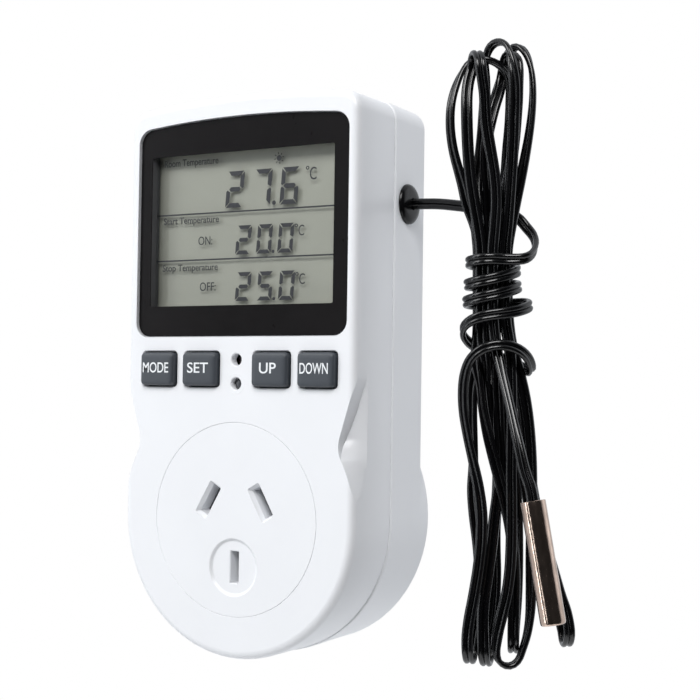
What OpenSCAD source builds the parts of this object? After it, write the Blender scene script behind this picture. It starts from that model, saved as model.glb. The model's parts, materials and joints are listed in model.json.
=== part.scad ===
// Plug in temperature controller: a wall plug and a switched socket in one
// case, with a display, four keys and a probe on a thin flat cord.
// Frame: +X right seen from the front, +Z up, front faces -Y.
// Origin: centre of the plug pins' pattern on the rear face. Units: mm.

/* [Case] */
// Width of the case across its straight sides
case_w = 60; // [60:0.5:62]
// Height of the top edge above the plug centre, at the middle
case_top = 92.4; // [92:0.2:95]
// Depth from the front face to the plug face
case_d = 34; // [34:0.5:36]
// Depth of the front shell, from the front face to the parting groove
split_d = 15.5; // [15:0.5:17]
// Wall thickness
wall = 2; // [1.8:0.1:2.2]
// Radius of the top corners
corner_r = 4.5; // [3.5:0.5:6]
// Width of the parting groove
groove_w = 0.6; // [0.4:0.1:0.8]

/* [Display] */
// Half width of the black window
window_hw = 27.6; // [26.5:0.1:27.6]
// Bottom edge of the window
window_z0 = 39.6; // [39:0.1:40]
// Top edge of the window, at the middle
window_z1 = 87.6; // [86:0.1:88]
// Half width of the clear opening over the display
lcd_hw = 24.1; // [22:0.1:24.5]
// Bottom of the clear opening
lcd_z0 = 46.4; // [46:0.1:48]
// Top of the clear opening
lcd_z1 = 80; // [78:0.1:80.5]

/* [Keys] */
// Key width
key_w = 9; // [8.5:0.1:9.2]
// Key height
key_h = 7.3; // [6.8:0.1:7.6]
// Height of the key row's centre
key_z = 32.4; // [32:0.1:33]
// Distance from the middle to the inner keys
key_x1 = 9.2; // [9:0.1:9.4]
// Distance from the middle to the outer keys
key_x2 = 20.8; // [20.6:0.1:21]
// How far a key stands out of the front face
key_proud = 1.4; // [1:0.1:1.8]
// Key travel
key_travel = 1; // [0.8:0.1:1]

/* [Socket and plug] */
// Distance between the active and neutral pin centres
pin_pitch = 13.68; // [13.6:0.02:13.8]
// Height of the active and neutral pin centres
pin_z = 3.95; // [3.9:0.05:4]
// Distance of the earth pin centre below the plug centre
earth_z = 10.3; // [10.2:0.05:10.4]
// Pin width
pin_w = 6.35; // [6.2:0.05:6.5]
// Pin thickness
pin_t = 1.6; // [1.5:0.05:1.7]
// Length of the active and neutral pins
pin_len = 17.1; // [16.5:0.1:17.5]
// Length of the earth pin
earth_len = 20; // [19:0.1:20.3]
// Radius of the round socket insert
insert_r = 20.85; // [20.6:0.05:20.9]
// Shutter travel
shutter_travel = 3.2; // [3:0.1:3.4]

/* [Probe cord] */
// Width of the flat twin cord
cord_w = 2.4; // [2:0.1:2.6]
// Thickness of the flat twin cord
cord_t = 1.2; // [1:0.1:1.4]
// Depth of the hank, front to back
hank_d = 10; // [8:0.5:11]
// Radius of the probe tube
probe_r = 2.5; // [2:0.1:3]
// Length of the probe tube
probe_len = 24; // [20:1:30]

/* [Hidden] */
$fn = 48;
half_w = case_w / 2;
top_R = 250;                       // radius of the arched top edge
gland_y = -12.7;                   // gland centre, from the plug face
gland_z = 69.1;
tilt = 30;                         // lean of the active and neutral pins
slot_w = 2.1;
slot_h = 6.9;
neck_c = [32, 16.5];               // centre of the neck's hollow curve
neck_r = 6;
neck_a = 17;                       // lean of the neck's straight flank
shoulder_r = 12;
shoulder_z = 32.3;
screw_top = [24.5, 85.3];          // case screws, x and z
screw_low = [21, -14];
board_top = [12, 85.4];            // control board screws
board_low = [25.2, 40.4];
power_pts = [[-21, 39], [21, 39], [-21, 77], [21, 77]];
post_pts = [[0, 13.5], [12.5, -8.5], [-12.5, -8.5]];
key_xs = [-key_x2, -key_x1, key_x1, key_x2];
probe_top = [67.7, -29.7, 7.3];
probe_lean = 11;

// Route of the cord from the gland, behind the hank and round to its first wrap
lead_route = [[31.5, -12.7, 69.1], [34, -12.8, 69], [38, -13.5, 68.6],
    [42, -14.7, 67.9], [46, -15.6, 67.2], [50, -15.9, 66.6], [54, -15.8, 65.9],
    [58, -15.6, 64.8], [62, -16.4, 63], [64.6, -18.6, 60.7], [65, -21.6, 58.6],
    [63.8, -24.6, 57.1], [61.2, -26.8, 56.2]];
// Route of the short tail from the hank into the probe tube
tail_route = [[65, -26, 30], [65.9, -27.4, 24], [66.5, -28.7, 18], [67.1, -29.5, 11.7],
    [67.8, -29.7, 6.7]];
// Outline of the hank, x and z, without its round ends
hank_left = [[44.6, 87], [44.4, 80], [45.6, 70], [48, 57], [47.6, 48], [47.4, 36],
    [48, 26], [47.6, 12], [48.4, 0], [48, -19.5]];
hank_right = [[63.4, 87], [63.8, 80], [63, 70], [61.6, 58], [64.6, 48], [64.9, 34],
    [64.6, 24], [65.6, 12], [67, 0], [74.2, -14]];
active_in_route = [[-5.3, -7, 6.9], [-6.2, -6.9, 12], [-9, -8, 22], [-12, -10.8, 31],
    [-13, -12.2, 37.5], [-13, -11, 40], [-13, -9.3, 40.6]];
active_out_route = [[-5.6, -11.2, 5.6], [-4.4, -10.8, 13.5], [-3.4, -11.6, 23],
    [-5, -12.6, 32], [-6, -12.4, 37.8], [-6, -11, 40], [-6, -9.3, 40.6]];
neutral_route = [[5.3, -7, 6.9], [6.2, -6.9, 12], [9, -8, 22], [12, -10.8, 31],
    [13, -12.2, 37.5], [13, -11, 40], [13, -9.3, 40.6]];
inner_route = [[30.6, -12.7, 69.1], [26, -12.8, 69.1], [22.6, -13.6, 68.4],
    [19.6, -15, 66.2], [18.2, -16.6, 63.6], [18, -18.4, 62.2]];

// ---- helpers ----

// depth behind the front face, as a y value
function F(d) = d - case_d;

// an outline in X and Z, extruded from y0 to y1
module slab(y0, y1) {
    translate([0, y1, 0]) rotate([90, 0, 0]) linear_extrude(y1 - y0) children();
}

module ycyl(x, z, y0, y1, r) {
    translate([x, y1, z]) rotate([90, 0, 0]) cylinder(h = y1 - y0, r = r);
}

module box(x0, x1, y0, y1, z0, z1) {
    translate([x0, y0, z0]) cube([x1 - x0, y1 - y0, z1 - z0]);
}

// a rectangle with round corners, centred
module pill_rect(w, h, r) {
    square([w - 2 * r, h], center = true);
    square([w, h - 2 * r], center = true);
    for (sx = [-1, 1], sz = [-1, 1])
        translate([sx * (w / 2 - r), sz * (h / 2 - r)]) circle(r = r, $fn = 32);
}

// a shape with straight sides and an arched top with round corners
module arch_top(h, z0, ztop, r, R) {
    cz = ztop - R;
    xc = h - r;
    zc = cz + sqrt(pow(R - r, 2) - xc * xc);
    translate([-h, z0]) square([2 * h, zc - z0]);
    for (s = [-1, 1]) translate([s * xc, zc]) circle(r = r);
    intersection() {
        translate([0, cz]) circle(r = R, $fn = 400);
        polygon([[-xc * (zc - 3 - cz) / (zc - cz), zc - 3],
            [xc * (zc - 3 - cz) / (zc - cz), zc - 3],
            [xc * 1.1, cz + 1.1 * (zc - cz)], [-xc * 1.1, cz + 1.1 * (zc - cz)]]);
    }
}

// outline of the case behind the neck, moved inward by i
module case_outline(i = 0) {
    arch_top(half_w - i, 0, case_top - i, max(corner_r - i, 0.8), top_R - i);
    circle(r = half_w - i, $fn = 96);
}

function arc(c, r, a0, a1, n) =
    [for (k = [0:n]) c + r * [cos(a0 + (a1 - a0) * k / n), sin(a0 + (a1 - a0) * k / n)]];

// the side notch that makes the neck, moved inward by i
function notch(i) = concat([[half_w + 12, -1], [half_w + 12, shoulder_z]],
    arc([half_w - shoulder_r, shoulder_z], shoulder_r - i, 0, -neck_a, 5),
    arc([neck_c[0] + half_w - 30, neck_c[1]], neck_r + i, 180 - neck_a,
        180 + atan(neck_c[1] / (neck_c[0] + half_w - 30)), 8),
    [[half_w - 12, -1]]);

// outline of the front face, with the neck
module neck_outline(i = 0) {
    difference() {
        case_outline(i);
        for (s = [1, -1]) scale([s, 1]) polygon(notch(i));
    }
    circle(r = half_w - i, $fn = 96);
    translate([-half_w + 12, -1]) square([case_w - 24, 12]);
}

// points on a smooth curve through a route, n to a span
function cr(p, i, t) =
    let (a = p[max(i - 1, 0)], b = p[i], c = p[i + 1], d = p[min(i + 2, len(p) - 1)])
    0.5 * ((2 * b) + (c - a) * t + (2 * a - 5 * b + 4 * c - d) * t * t
        + (3 * b - a - 3 * c + d) * t * t * t);
function smooth(p, n) = concat([for (i = [0:len(p) - 2]) for (k = [0:n - 1]) cr(p, i, k / n)],
    [p[len(p) - 1]]);
function unit(v) = v / norm(v);

// a tube of oval section along points: half size a along ref, b across it
module swept(pts, a, b, ref, sides = 8) {
    m = len(pts);
    tg = [for (i = [0:m - 1]) unit(pts[min(i + 1, m - 1)] - pts[max(i - 1, 0)])];
    rings = [for (i = [0:m - 1])
        let (w = unit(ref - (ref * tg[i]) * tg[i]), t = cross(tg[i], w))
        for (k = [0:sides - 1])
            pts[i] + a * cos(360 * k / sides) * w + b * sin(360 * k / sides) * t];
    polyhedron(points = rings, faces = concat(
        [[for (k = [0:sides - 1]) k]],
        [for (i = [0:m - 2]) for (k = [0:sides - 1])
            [i * sides + k, (i + 1) * sides + k, (i + 1) * sides + (k + 1) % sides]],
        [for (i = [0:m - 2]) for (k = [0:sides - 1])
            [i * sides + k, (i + 1) * sides + (k + 1) % sides, i * sides + (k + 1) % sides]],
        [[for (k = [0:sides - 1]) m * sides - 1 - k]]));
}

// puts its children on the active (-1) or neutral (1) pin's place, leaning
module at_pin(s) {
    translate([s * pin_pitch / 2, 0, pin_z]) rotate([0, -s * tilt, 0]) children();
}
module at_earth() {
    translate([0, 0, -earth_z]) children();
}

// a self tapping screw whose head bears at y and whose point looks to -Y
module screw(x, z, y, len, r_shank, r_head, h_head) {
    difference() {
        union() {
            ycyl(x, z, y - len, y, r_shank);
            ycyl(x, z, y, y + h_head, r_head);
        }
        for (a = [0, 90])
            translate([x, y + h_head - 0.5, z]) rotate([0, a, 0])
                translate([-r_head * 0.62, -0.5, -0.35]) cube([r_head * 1.24, 1.2, 0.7]);
    }
}

// ---- case ----

// the hollow at one side of the neck, right side
module scallop() {
    intersection() {
        slab(F(-1), F(5.2)) difference() {
            translate([half_w - 7, 12]) square([9, 22]);
            neck_outline(0);
        }
        translate([0, 0, 16]) linear_extrude(18)
            polygon([[half_w + 2, F(6)], [half_w - 8, F(1)], [half_w - 8, F(-2)],
                [half_w + 2, F(-2)]]);
    }
    hull() {
        for (p = [[half_w + 0.4, 5.2, 16.02], [half_w - 3.9, 1.8, 16.02],
                [half_w - 3.9, -1, 16.02], [half_w + 1, -1, 16.02],
                [half_w + 0.02, 5, 4.8], [half_w - 0.42, 0, 4.8],
                [half_w - 0.42, -1, 4.8], [half_w + 1, -1, 4.8]])
            translate([p[0], F(p[1]), p[2]]) cube([0.01, 0.01, 0.01]);
    }
}

module front_shell() {
    color("whitesmoke") difference() {
        union() {
            difference() {
                slab(F(0), F(split_d - groove_w / 2)) case_outline(0);
                scallop();
                mirror([1, 0, 0]) scallop();
                slab(F(wall), F(7)) neck_outline(wall + 0.2);
                slab(F(6.99), F(split_d)) case_outline(wall);
            }
            // bosses for the case screws and the control board
            for (s = [-1, 1]) {
                ycyl(s * screw_top[0], screw_top[1], F(wall - 0.2), -15.1, 2.9);
                ycyl(s * screw_low[0], screw_low[1], F(wall - 0.2), -15.1, 2.7);
                ycyl(s * board_top[0], board_top[1], F(wall - 0.2), F(9.4), 2.1);
                ycyl(s * board_low[0], board_low[1], F(wall - 0.2), F(9.4), 2.1);
            }
            // ring that centres the socket insert and its carrier
            slab(F(wall - 0.2), F(6)) difference() {
                circle(r = 24, $fn = 96);
                circle(r = 22.5, $fn = 96);
            }
        }
        // window pocket and the opening behind it
        slab(F(-1), F(1))
            arch_top(window_hw + 0.1, window_z0 - 0.1, window_z1 + 0.1, 3.6, top_R);
        slab(F(-1), F(wall + 1)) translate([0, (lcd_z0 + lcd_z1) / 2])
            pill_rect(2 * lcd_hw + 2, lcd_z1 - lcd_z0 + 2, 1);
        // key openings
        for (x = key_xs) slab(F(-1), F(wall + 1)) translate([x, key_z])
            pill_rect(key_w + 0.6, key_h + 0.6, 0.8);
        // lamp hole and reset hole
        ycyl(0, 34.5, F(-1), F(wall + 1), 1.3);
        ycyl(0, 29.3, F(-1), F(wall + 1), 1.3);
        // hole for the socket insert
        slab(F(-1), F(wall + 0.5)) circle(r = insert_r + 0.15, $fn = 96);
        // screw holes
        for (s = [-1, 1]) {
            ycyl(s * screw_top[0], screw_top[1], -26, -15, 1.45);
            ycyl(s * screw_low[0], screw_low[1], -26, -15, 1.45);
            ycyl(s * board_top[0], board_top[1], F(3.6), F(9.5), 1);
            ycyl(s * board_low[0], board_low[1], F(3.6), F(9.5), 1);
        }
    }
}

module rear_shell() {
    color("white") difference() {
        union() {
            difference() {
                union() {
                    slab(F(split_d + groove_w / 2), -4) case_outline(0);
                    slab(-4.01, 0) circle(r = half_w, $fn = 96);
                }
                slab(F(split_d), -4 - wall) case_outline(wall);
                slab(-4 - wall - 0.01, -wall) circle(r = half_w - wall, $fn = 96);
            }
            // tongue that locates the front shell, on a rib round the inside
            difference() {
                union() {
                    slab(F(split_d - 2.4), F(split_d + 1.2)) case_outline(wall + 0.15);
                    slab(F(split_d + groove_w / 2), F(split_d + 1.2)) case_outline(wall - 0.1);
                }
                slab(F(split_d - 3), F(split_d + 3)) case_outline(wall + 1.2);
                for (s = [-1, 1]) {
                    ycyl(s * screw_top[0], screw_top[1], F(8), -14.8, 3.3);
                    ycyl(s * screw_low[0], screw_low[1], F(8), -14.8, 3.1);
                }
            }
            for (s = [-1, 1]) {
                ycyl(s * screw_top[0], screw_top[1], -8.5, -5.9, 4.2);
                ycyl(s * screw_top[0], screw_top[1], -15, -5.9, 2.9);
                intersection() {
                    union() {
                        ycyl(s * screw_low[0], screw_low[1], -5.6, -1.9, 4.2);
                        ycyl(s * screw_low[0], screw_low[1], -15, -1.9, 2.9);
                    }
                    slab(-16, -1) circle(r = half_w - wall + 0.1, $fn = 96);
                }
            }
            // pegs under the power board
            for (p = power_pts) ycyl(p[0], p[1], -7.6, -5.9, 2.4);
            // posts that press on the contact carrier
            for (p = post_pts) ycyl(p[0], p[1], -12.35, -1.9, 1.6);
        }
        for (s = [-1, 1]) {
            ycyl(s * screw_top[0], screw_top[1], -16, -3, 1.6);
            ycyl(s * screw_top[0], screw_top[1], -7, -3, 3);
            ycyl(s * screw_low[0], screw_low[1], -16, 1, 1.6);
            ycyl(s * screw_low[0], screw_low[1], -4.1, 1, 3);
        }
        for (p = power_pts) ycyl(p[0], p[1], -8, -4.8, 1);
        // gland hole
        translate([half_w - wall - 1, gland_y, gland_z]) rotate([0, 90, 0])
            cylinder(h = wall + 2, r = 3.3);
        // pin slots
        for (s = [-1, 1]) at_pin(s)
            translate([-pin_t / 2 - 0.05, -wall - 1, -pin_w / 2 - 0.05])
                cube([pin_t + 0.1, wall + 2, pin_w + 0.1]);
        at_earth() translate([-pin_t / 2 - 0.05, -wall - 1, -pin_w / 2 - 0.05])
            cube([pin_t + 0.1, wall + 2, pin_w + 0.1]);
    }
}

module case_screws() {
    color("silver") for (s = [-1, 1]) {
        screw(s * screw_top[0], screw_top[1], -7, 17, 1.4, 2.7, 1.9);
        screw(s * screw_low[0], screw_low[1], -4.1, 19, 1.4, 2.7, 1.9);
    }
}

// ---- display ----

module display_window() {
    color([0.1, 0.1, 0.11, 0.5]) slab(F(0), F(0.8))
        arch_top(window_hw, window_z0, window_z1, 3.5, top_R);
}

module window_mask() {
    color([0.1, 0.1, 0.11]) slab(F(0.8), F(1)) difference() {
        arch_top(window_hw - 0.1, window_z0 + 0.1, window_z1 - 0.1, 3.4, top_R);
        translate([0, (lcd_z0 + lcd_z1) / 2])
            pill_rect(2 * lcd_hw, lcd_z1 - lcd_z0, 0.6);
    }
}

module lcd_panel() {
    color([0.6, 0.61, 0.56]) box(-26, 26, F(2.8), F(5.6), 44.4, 81.4);
}

module lcd_light_guide() {
    color([0.92, 0.93, 0.95]) box(-26, 26, F(5.7), F(8.2), 46.6, 81.4);
}

module lcd_holder() {
    color("white") difference() {
        box(-27.2, 27.2, F(2.05), F(9.4), 43.2, 82.2);
        box(-26.1, 26.1, F(2.7), F(10), 44.3, 81.5);
        box(-lcd_hw - 0.6, lcd_hw + 0.6, F(1), F(3), 45.6, 80.8);
        for (s = [-1, 1]) ycyl(s * board_low[0], board_low[1], F(1), F(10), 2.9);
    }
}

// strip of rubber and carbon that joins the glass to the board
module lcd_connector() {
    color([0.85, 0.5, 0.55]) box(-22, 22, F(5.6), F(9.4), 44.5, 46.4);
}

module board_outline(x, z0, z1) {
    difference() {
        translate([-x, z0]) square([2 * x, z1 - z0]);
        for (s = [-1, 1]) {
            translate([s * (screw_top[0] + 1), screw_top[1] + 1]) square([9.4, 9.4], center = true);
            translate([s * board_top[0], board_top[1]]) circle(r = 1.1);
            translate([s * board_low[0], board_low[1]]) circle(r = 1.1);
        }
    }
}

module control_board() {
    color([0.1, 0.35, 0.2]) slab(F(9.4), F(11)) board_outline(27, 25, 88);
}

module control_board_screws() {
    color("silver") for (s = [-1, 1]) {
        screw(s * board_top[0], board_top[1], F(11), 6, 0.95, 2, 1.3);
        screw(s * board_low[0], board_low[1], F(11), 6, 0.95, 1.7, 1.3);
    }
}

module controller_chip() {
    color([0.08, 0.08, 0.08]) translate([-8, F(11), 50]) rotate([-90, 0, 0])
        rotate_extrude() polygon(concat([[0, 0], [6, 0]],
            [for (a = [20:10:90]) [6 * cos(a), 1.2 * sin(a)]]));
}

// ---- keys ----

module key_mat() {
    color([0.3, 0.32, 0.35]) slab(F(8.1), F(9.4)) difference() {
        translate([-26.6, 27]) square([53.2, 11]);
        for (x = key_xs) translate([x, key_z]) square([key_w + 1.6, key_h + 1.6], center = true);
        translate([0, 34.5]) circle(r = 2);
        translate([0, 29.3]) square([4.8, 4.6], center = true);
        for (s = [-1, 1]) translate([s * board_low[0], board_low[1]]) circle(r = 2.4);
    }
}

// one rubber key: cap, skirt behind the wall, and stem
module rubber_key(x) {
    color([0.3, 0.32, 0.35]) {
        slab(F(-key_proud), F(wall + 0.4)) translate([x, key_z]) pill_rect(key_w, key_h, 0.7);
        slab(F(wall + 0.3), F(wall + 1.5)) translate([x, key_z])
            square([key_w + 1.2, key_h + 1.2], center = true);
        slab(F(wall + 1.4), F(7.8)) translate([x, key_z]) square([8, 6.2], center = true);
    }
}
module mode_key() { rubber_key(-key_x2); }
module set_key() { rubber_key(-key_x1); }
module up_key() { rubber_key(key_x1); }
module down_key() { rubber_key(key_x2); }

module carbon_pill(x) {
    color([0.06, 0.06, 0.06]) ycyl(x, key_z, F(7.8), F(8.3), 2);
}
module mode_key_pill() { carbon_pill(-key_x2); }
module set_key_pill() { carbon_pill(-key_x1); }
module up_key_pill() { carbon_pill(key_x1); }
module down_key_pill() { carbon_pill(key_x2); }

module indicator_led() {
    color([0.85, 0.3, 0.25]) {
        translate([0, F(3.6), 34.5]) rotate([90, 0, 0]) intersection() {
            sphere(r = 1.5);
            cylinder(h = 2, r = 1.5);
        }
        ycyl(0, 34.5, F(3.59), F(7), 1.5);
        ycyl(0, 34.5, F(6.99), F(7.9), 1.8);
    }
    color("silver") for (s = [-1, 1]) box(s * 1.27 - 0.25, s * 1.27 + 0.25, F(7.9), F(9.4), 34.25, 34.75);
}

module reset_switch() {
    color([0.2, 0.2, 0.2]) difference() {
        box(-2.1, 2.1, F(5.6), F(9.4), 27.2, 31.4);
        ycyl(0, 29.3, F(5), F(6.7), 1.1);
    }
}

module reset_plunger() {
    color([0.5, 0.5, 0.5]) {
        ycyl(0, 29.3, F(1.3), F(6.2), 1);
        translate([0, F(1.31), 29.3]) rotate([90, 0, 0]) intersection() {
            translate([0, 0, -0.75]) sphere(r = 1.25);
            cylinder(h = 2, r = 1);
        }
    }
}

// ---- socket ----

module socket_insert() {
    color("whitesmoke") difference() {
        union() {
            slab(F(0), F(wall + 0.1)) circle(r = insert_r, $fn = 96);
            slab(F(wall), F(4)) circle(r = 22.3, $fn = 96);
        }
        for (s = [-1, 1]) at_pin(s)
            translate([-slot_w / 2, F(-1), -slot_h / 2]) cube([slot_w, 6, slot_h]);
        at_earth() translate([-slot_w / 2, F(-1), -slot_h / 2]) cube([slot_w, 6, slot_h]);
        ycyl(0, -earth_z, F(-1), F(0.6), 6);
    }
}

// carrier of the contacts, with the shutter's guide rails in front
module contact_carrier() {
    color([0.85, 0.85, 0.82]) difference() {
        union() {
            slab(F(4.05), F(8.1)) circle(r = 22.3, $fn = 96);
            slab(F(8), F(21.6)) circle(r = 17);
        }
        difference() {
            slab(F(4), F(6.6)) circle(r = 19.5, $fn = 96);
            box(-17, 17, F(3.9), F(7), -2.6, -1.8);
            box(-15.5, 15.5, F(3.9), F(7), 9.8, 10.6);
            box(-16.2, -14.8, F(3.9), F(7), 0, 8);
        }
        for (s = [-1, 1]) at_pin(s) {
            translate([-1.2, F(4), -3.6]) cube([2.4, 6, 7.2]);
            translate([-2.6, F(8.1), -3.7]) cube([5.2, 20, 7.4]);
        }
        at_earth() {
            translate([-1.2, F(4), -3.6]) cube([2.4, 6, 7.2]);
            translate([-2.6, F(8.1), -3.7]) cube([5.2, 20, 7.4]);
        }
    }
}

// sliding plate that covers the active and neutral slots
module socket_shutter() {
    color([0.75, 0.75, 0.73]) difference() {
        union() {
            box(-14.5, 11.5, F(4.6), F(6.2), -1.5, 9.5);
            translate([11.4, F(5.4), 4]) rotate([0, 90, 0]) cylinder(h = 1.6, r = 0.7);
        }
        for (s = [-1, 1]) translate([-shutter_travel, 0, 0]) at_pin(s)
            translate([-1.2, F(4), -3.7]) cube([2.4, 3, 7.4]);
    }
}

module shutter_spring() {
    n = 5;
    k = 14;
    pts = [for (i = [0:n * k]) [11.6 + 7.1 * i / (n * k),
        F(5.4) + 0.95 * cos(360 * i / k), 4 + 0.95 * sin(360 * i / k)]];
    color("silver") swept(pts, 0.14, 0.14, [1, 0, 0], 6);
}

// sprung clip for one pin; tail is where its tab ends, from the front face
module clip(tail) {
    translate([0, 0, -3]) linear_extrude(6) polygon([
        [2.15, F(8.4)], [1, F(13.5)], [1.55, F(18.5)], [1.55, F(20.9)],
        [-1.55, F(20.9)], [-1.55, F(18.5)], [-1, F(13.5)], [-2.15, F(8.4)],
        [-1.65, F(8.4)], [-0.5, F(13.5)], [-1.05, F(18.6)], [-1.05, F(20.4)],
        [1.05, F(20.4)], [1.05, F(18.6)], [0.5, F(13.5)], [1.65, F(8.4)]]);
    translate([-0.3, F(20.8), -2]) cube([0.6, tail - F(20.8), 4]);
}
module active_contact() { color([0.8, 0.65, 0.3]) at_pin(-1) clip(-10.2); }
module neutral_contact() { color([0.8, 0.65, 0.3]) at_pin(1) clip(-8); }
module earth_contact() { color([0.8, 0.65, 0.3]) at_earth() clip(-8); }

// ---- plug ----

// a flat pin: tail inside, shoulder on the rear wall, blade outside
module blade(len, sleeve) {
    difference() {
        union() {
            translate([-pin_t / 2, -8, -pin_w / 2]) cube([pin_t, 8 + len - 1, pin_w]);
            translate([-pin_t / 2 - 0.8, -3, -pin_w / 2 - 0.8]) cube([pin_t + 1.6, 1, pin_w + 1.6]);
            // tapered tip
            translate([0, 0, -pin_w / 2]) linear_extrude(pin_w)
                polygon([[-pin_t / 2, len - 1.01], [pin_t / 2, len - 1.01],
                    [pin_t / 2 - 0.4, len], [-pin_t / 2 + 0.4, len]]);
        }
        for (s = [-1, 1]) translate([0, len, s * pin_w / 2]) rotate([0, 90, 0])
            translate([0, 0, -2]) rotate(45) cube([1.3, 1.3, 4], center = false);
        // neck under the sleeve
        if (sleeve > 0) difference() {
            translate([-2, 0, -5]) cube([4, sleeve, 10]);
            translate([-pin_t / 2 + 0.33, -1, -pin_w / 2 + 0.53])
                cube([pin_t - 0.66, sleeve + 2, pin_w - 1.06]);
        }
    }
}
module active_pin() { color("gold") at_pin(-1) blade(pin_len, 8.6); }
module neutral_pin() { color("gold") at_pin(1) blade(pin_len, 8.6); }
module earth_pin() { color("gold") at_earth() blade(earth_len, 0); }

module pin_sleeve() {
    difference() {
        translate([-pin_t / 2, 0.02, -pin_w / 2]) cube([pin_t, 8.56, pin_w]);
        translate([-pin_t / 2 + 0.3, -1, -pin_w / 2 + 0.5]) cube([pin_t - 0.6, 12, pin_w - 1]);
    }
}
module active_pin_sleeve() { color([0.12, 0.12, 0.12]) at_pin(-1) pin_sleeve(); }
module neutral_pin_sleeve() { color([0.12, 0.12, 0.12]) at_pin(1) pin_sleeve(); }

// plate that holds the pins against the rear wall
module pin_clamp() {
    color([0.9, 0.9, 0.88]) difference() {
        union() {
            box(-11, 11, -5.4, -wall, -1, 9.4);
            box(-4.2, 4.2, -5.4, -wall, -15.6, 0);
        }
        for (s = [-1, 1]) at_pin(s) clamp_slot();
        at_earth() clamp_slot();
    }
}
module clamp_slot() {
    translate([-pin_t / 2 - 0.05, -7, -pin_w / 2 - 0.05]) cube([pin_t + 0.1, 9, pin_w + 0.1]);
    translate([-pin_t / 2 - 0.85, -3.05, -pin_w / 2 - 0.85]) cube([pin_t + 1.7, 3, pin_w + 1.7]);
}

module active_in_wire() { color("saddlebrown") swept(smooth(active_in_route, 3), 0.9, 0.9, [1, 0, 0]); }
module active_out_wire() { color("saddlebrown") swept(smooth(active_out_route, 3), 0.9, 0.9, [1, 0, 0]); }
module neutral_wire() { color("steelblue") swept(smooth(neutral_route, 3), 0.9, 0.9, [1, 0, 0]); }

// ---- power board ----

module power_board() {
    color([0.1, 0.4, 0.22]) slab(-9.2, -7.6) difference() {
        translate([-24, 36]) square([48, 44]);
        for (p = power_pts) translate(p) circle(r = 1.1);
    }
}

module power_board_screws() {
    color("silver") for (p = power_pts) mirror([0, 1, 0])
        screw(p[0], p[1], 9.2, 4, 0.95, 2, 1.3);
}

// relay: hollow case, open to the board side inside
module relay_case() {
    color([0.15, 0.25, 0.45]) difference() {
        box(-22, -3.6, -21.6, -9.2, 60, 70.2);
        box(-21.3, -4.3, -20.9, -9.9, 60.7, 69.5);
    }
}

// coil on its bobbin with core, yoke and the fixed contact
module relay_coil() {
    color([0.7, 0.35, 0.15]) {
        translate([-19.6, -14, 65.1]) rotate([0, 90, 0]) cylinder(h = 9, r = 3.4);
        translate([-20.6, -14, 65.1]) rotate([0, 90, 0]) cylinder(h = 1.05, r = 4);
        translate([-10.65, -14, 65.1]) rotate([0, 90, 0]) cylinder(h = 0.6, r = 3.8);
        translate([-10.1, -14, 65.1]) rotate([0, 90, 0]) cylinder(h = 0.9, r = 1.6);
        box(-20.3, -9.3, -10.7, -9.95, 62.6, 67.6);
        box(-10.9, -10.2, -20.85, -17.4, 63.6, 66.6);
        translate([-10.4, -19.6, 65.1]) rotate([0, 90, 0]) cylinder(h = 0.6, r = 0.9);
    }
}

module relay_armature() {
    color([0.6, 0.6, 0.62]) {
        box(-8.4, -7.4, -20.6, -10.6, 62.1, 68.1);
        translate([-8.8, -19.8, 65.1]) rotate([0, 90, 0]) cylinder(h = 0.5, r = 0.9);
        // rounded edge that it rocks on
        translate([-7.9, -10.6, 62.4]) cylinder(h = 5.4, r = 0.5);
    }
}

module dropper_capacitor() {
    color([0.75, 0.6, 0.15]) box(-1, 14, -21.2, -9.2, 70.6, 77.2);
}

module supply_capacitor() {
    color([0.1, 0.1, 0.2]) difference() {
        ycyl(6, 60.5, -20.7, -9.2, 4);
        for (a = [0, 90]) translate([6, -20.7, 60.5]) rotate([0, a, 0])
            translate([-3, -0.1, -0.15]) cube([6, 0.3, 0.3]);
    }
}

module varistor() {
    color([0.15, 0.3, 0.6]) {
        translate([-18, -14.4, 50]) rotate([0, 90, 0]) cylinder(h = 4, r = 4.4);
        box(-16.3, -15.7, -11, -9.2, 47.2, 47.8);
        box(-16.3, -15.7, -11, -9.2, 52.2, 52.8);
    }
}

module fuse() {
    color([0.8, 0.75, 0.6]) {
        translate([-12.5, -11.6, 46]) rotate([0, 90, 0]) cylinder(h = 9, r = 1.8);
        box(-13.6, -13, -11.9, -9.2, 45.7, 46.3);
        box(-13.6, -12.4, -11.9, -11.3, 45.7, 46.3);
        box(-3, -2.4, -11.9, -9.2, 45.7, 46.3);
        box(-3.6, -2.4, -11.9, -11.3, 45.7, 46.3);
    }
}

module board_header() {
    color([0.1, 0.1, 0.1]) {
        box(5.5, 15.5, F(11), F(11) + 2.5, 47.2, 49.7);
        box(5.5, 15.5, -11.7, -9.2, 47.2, 49.7);
        for (i = [0:3]) box(6.5 + 2.54 * i, 7.1 + 2.54 * i, F(11) + 2.4, -11.6, 48.15, 48.75);
    }
}

// ---- probe cord ----

// the gland: domed flange outside, neck in the wall, flange inside
module cord_gland() {
    color([0.08, 0.08, 0.08]) difference() {
        translate([half_w, gland_y, gland_z]) rotate([0, 90, 0]) rotate_extrude()
            polygon([[0, -wall - 1.2], [4.2, -wall - 1.2], [4.2, -wall - 0.02], [3.25, -wall - 0.02],
                [3.25, 0.02], [4.4, 0.02], [4.4, 0.5], [4.1, 0.95], [3.4, 1.3], [2.4, 1.5],
                [0, 1.5]]);
        translate([half_w - wall - 3, gland_y - cord_t / 2 - 0.05, gland_z - cord_w / 2 - 0.05])
            cube([wall + 6, cord_t + 0.1, cord_w + 0.1]);
    }
}

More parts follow.
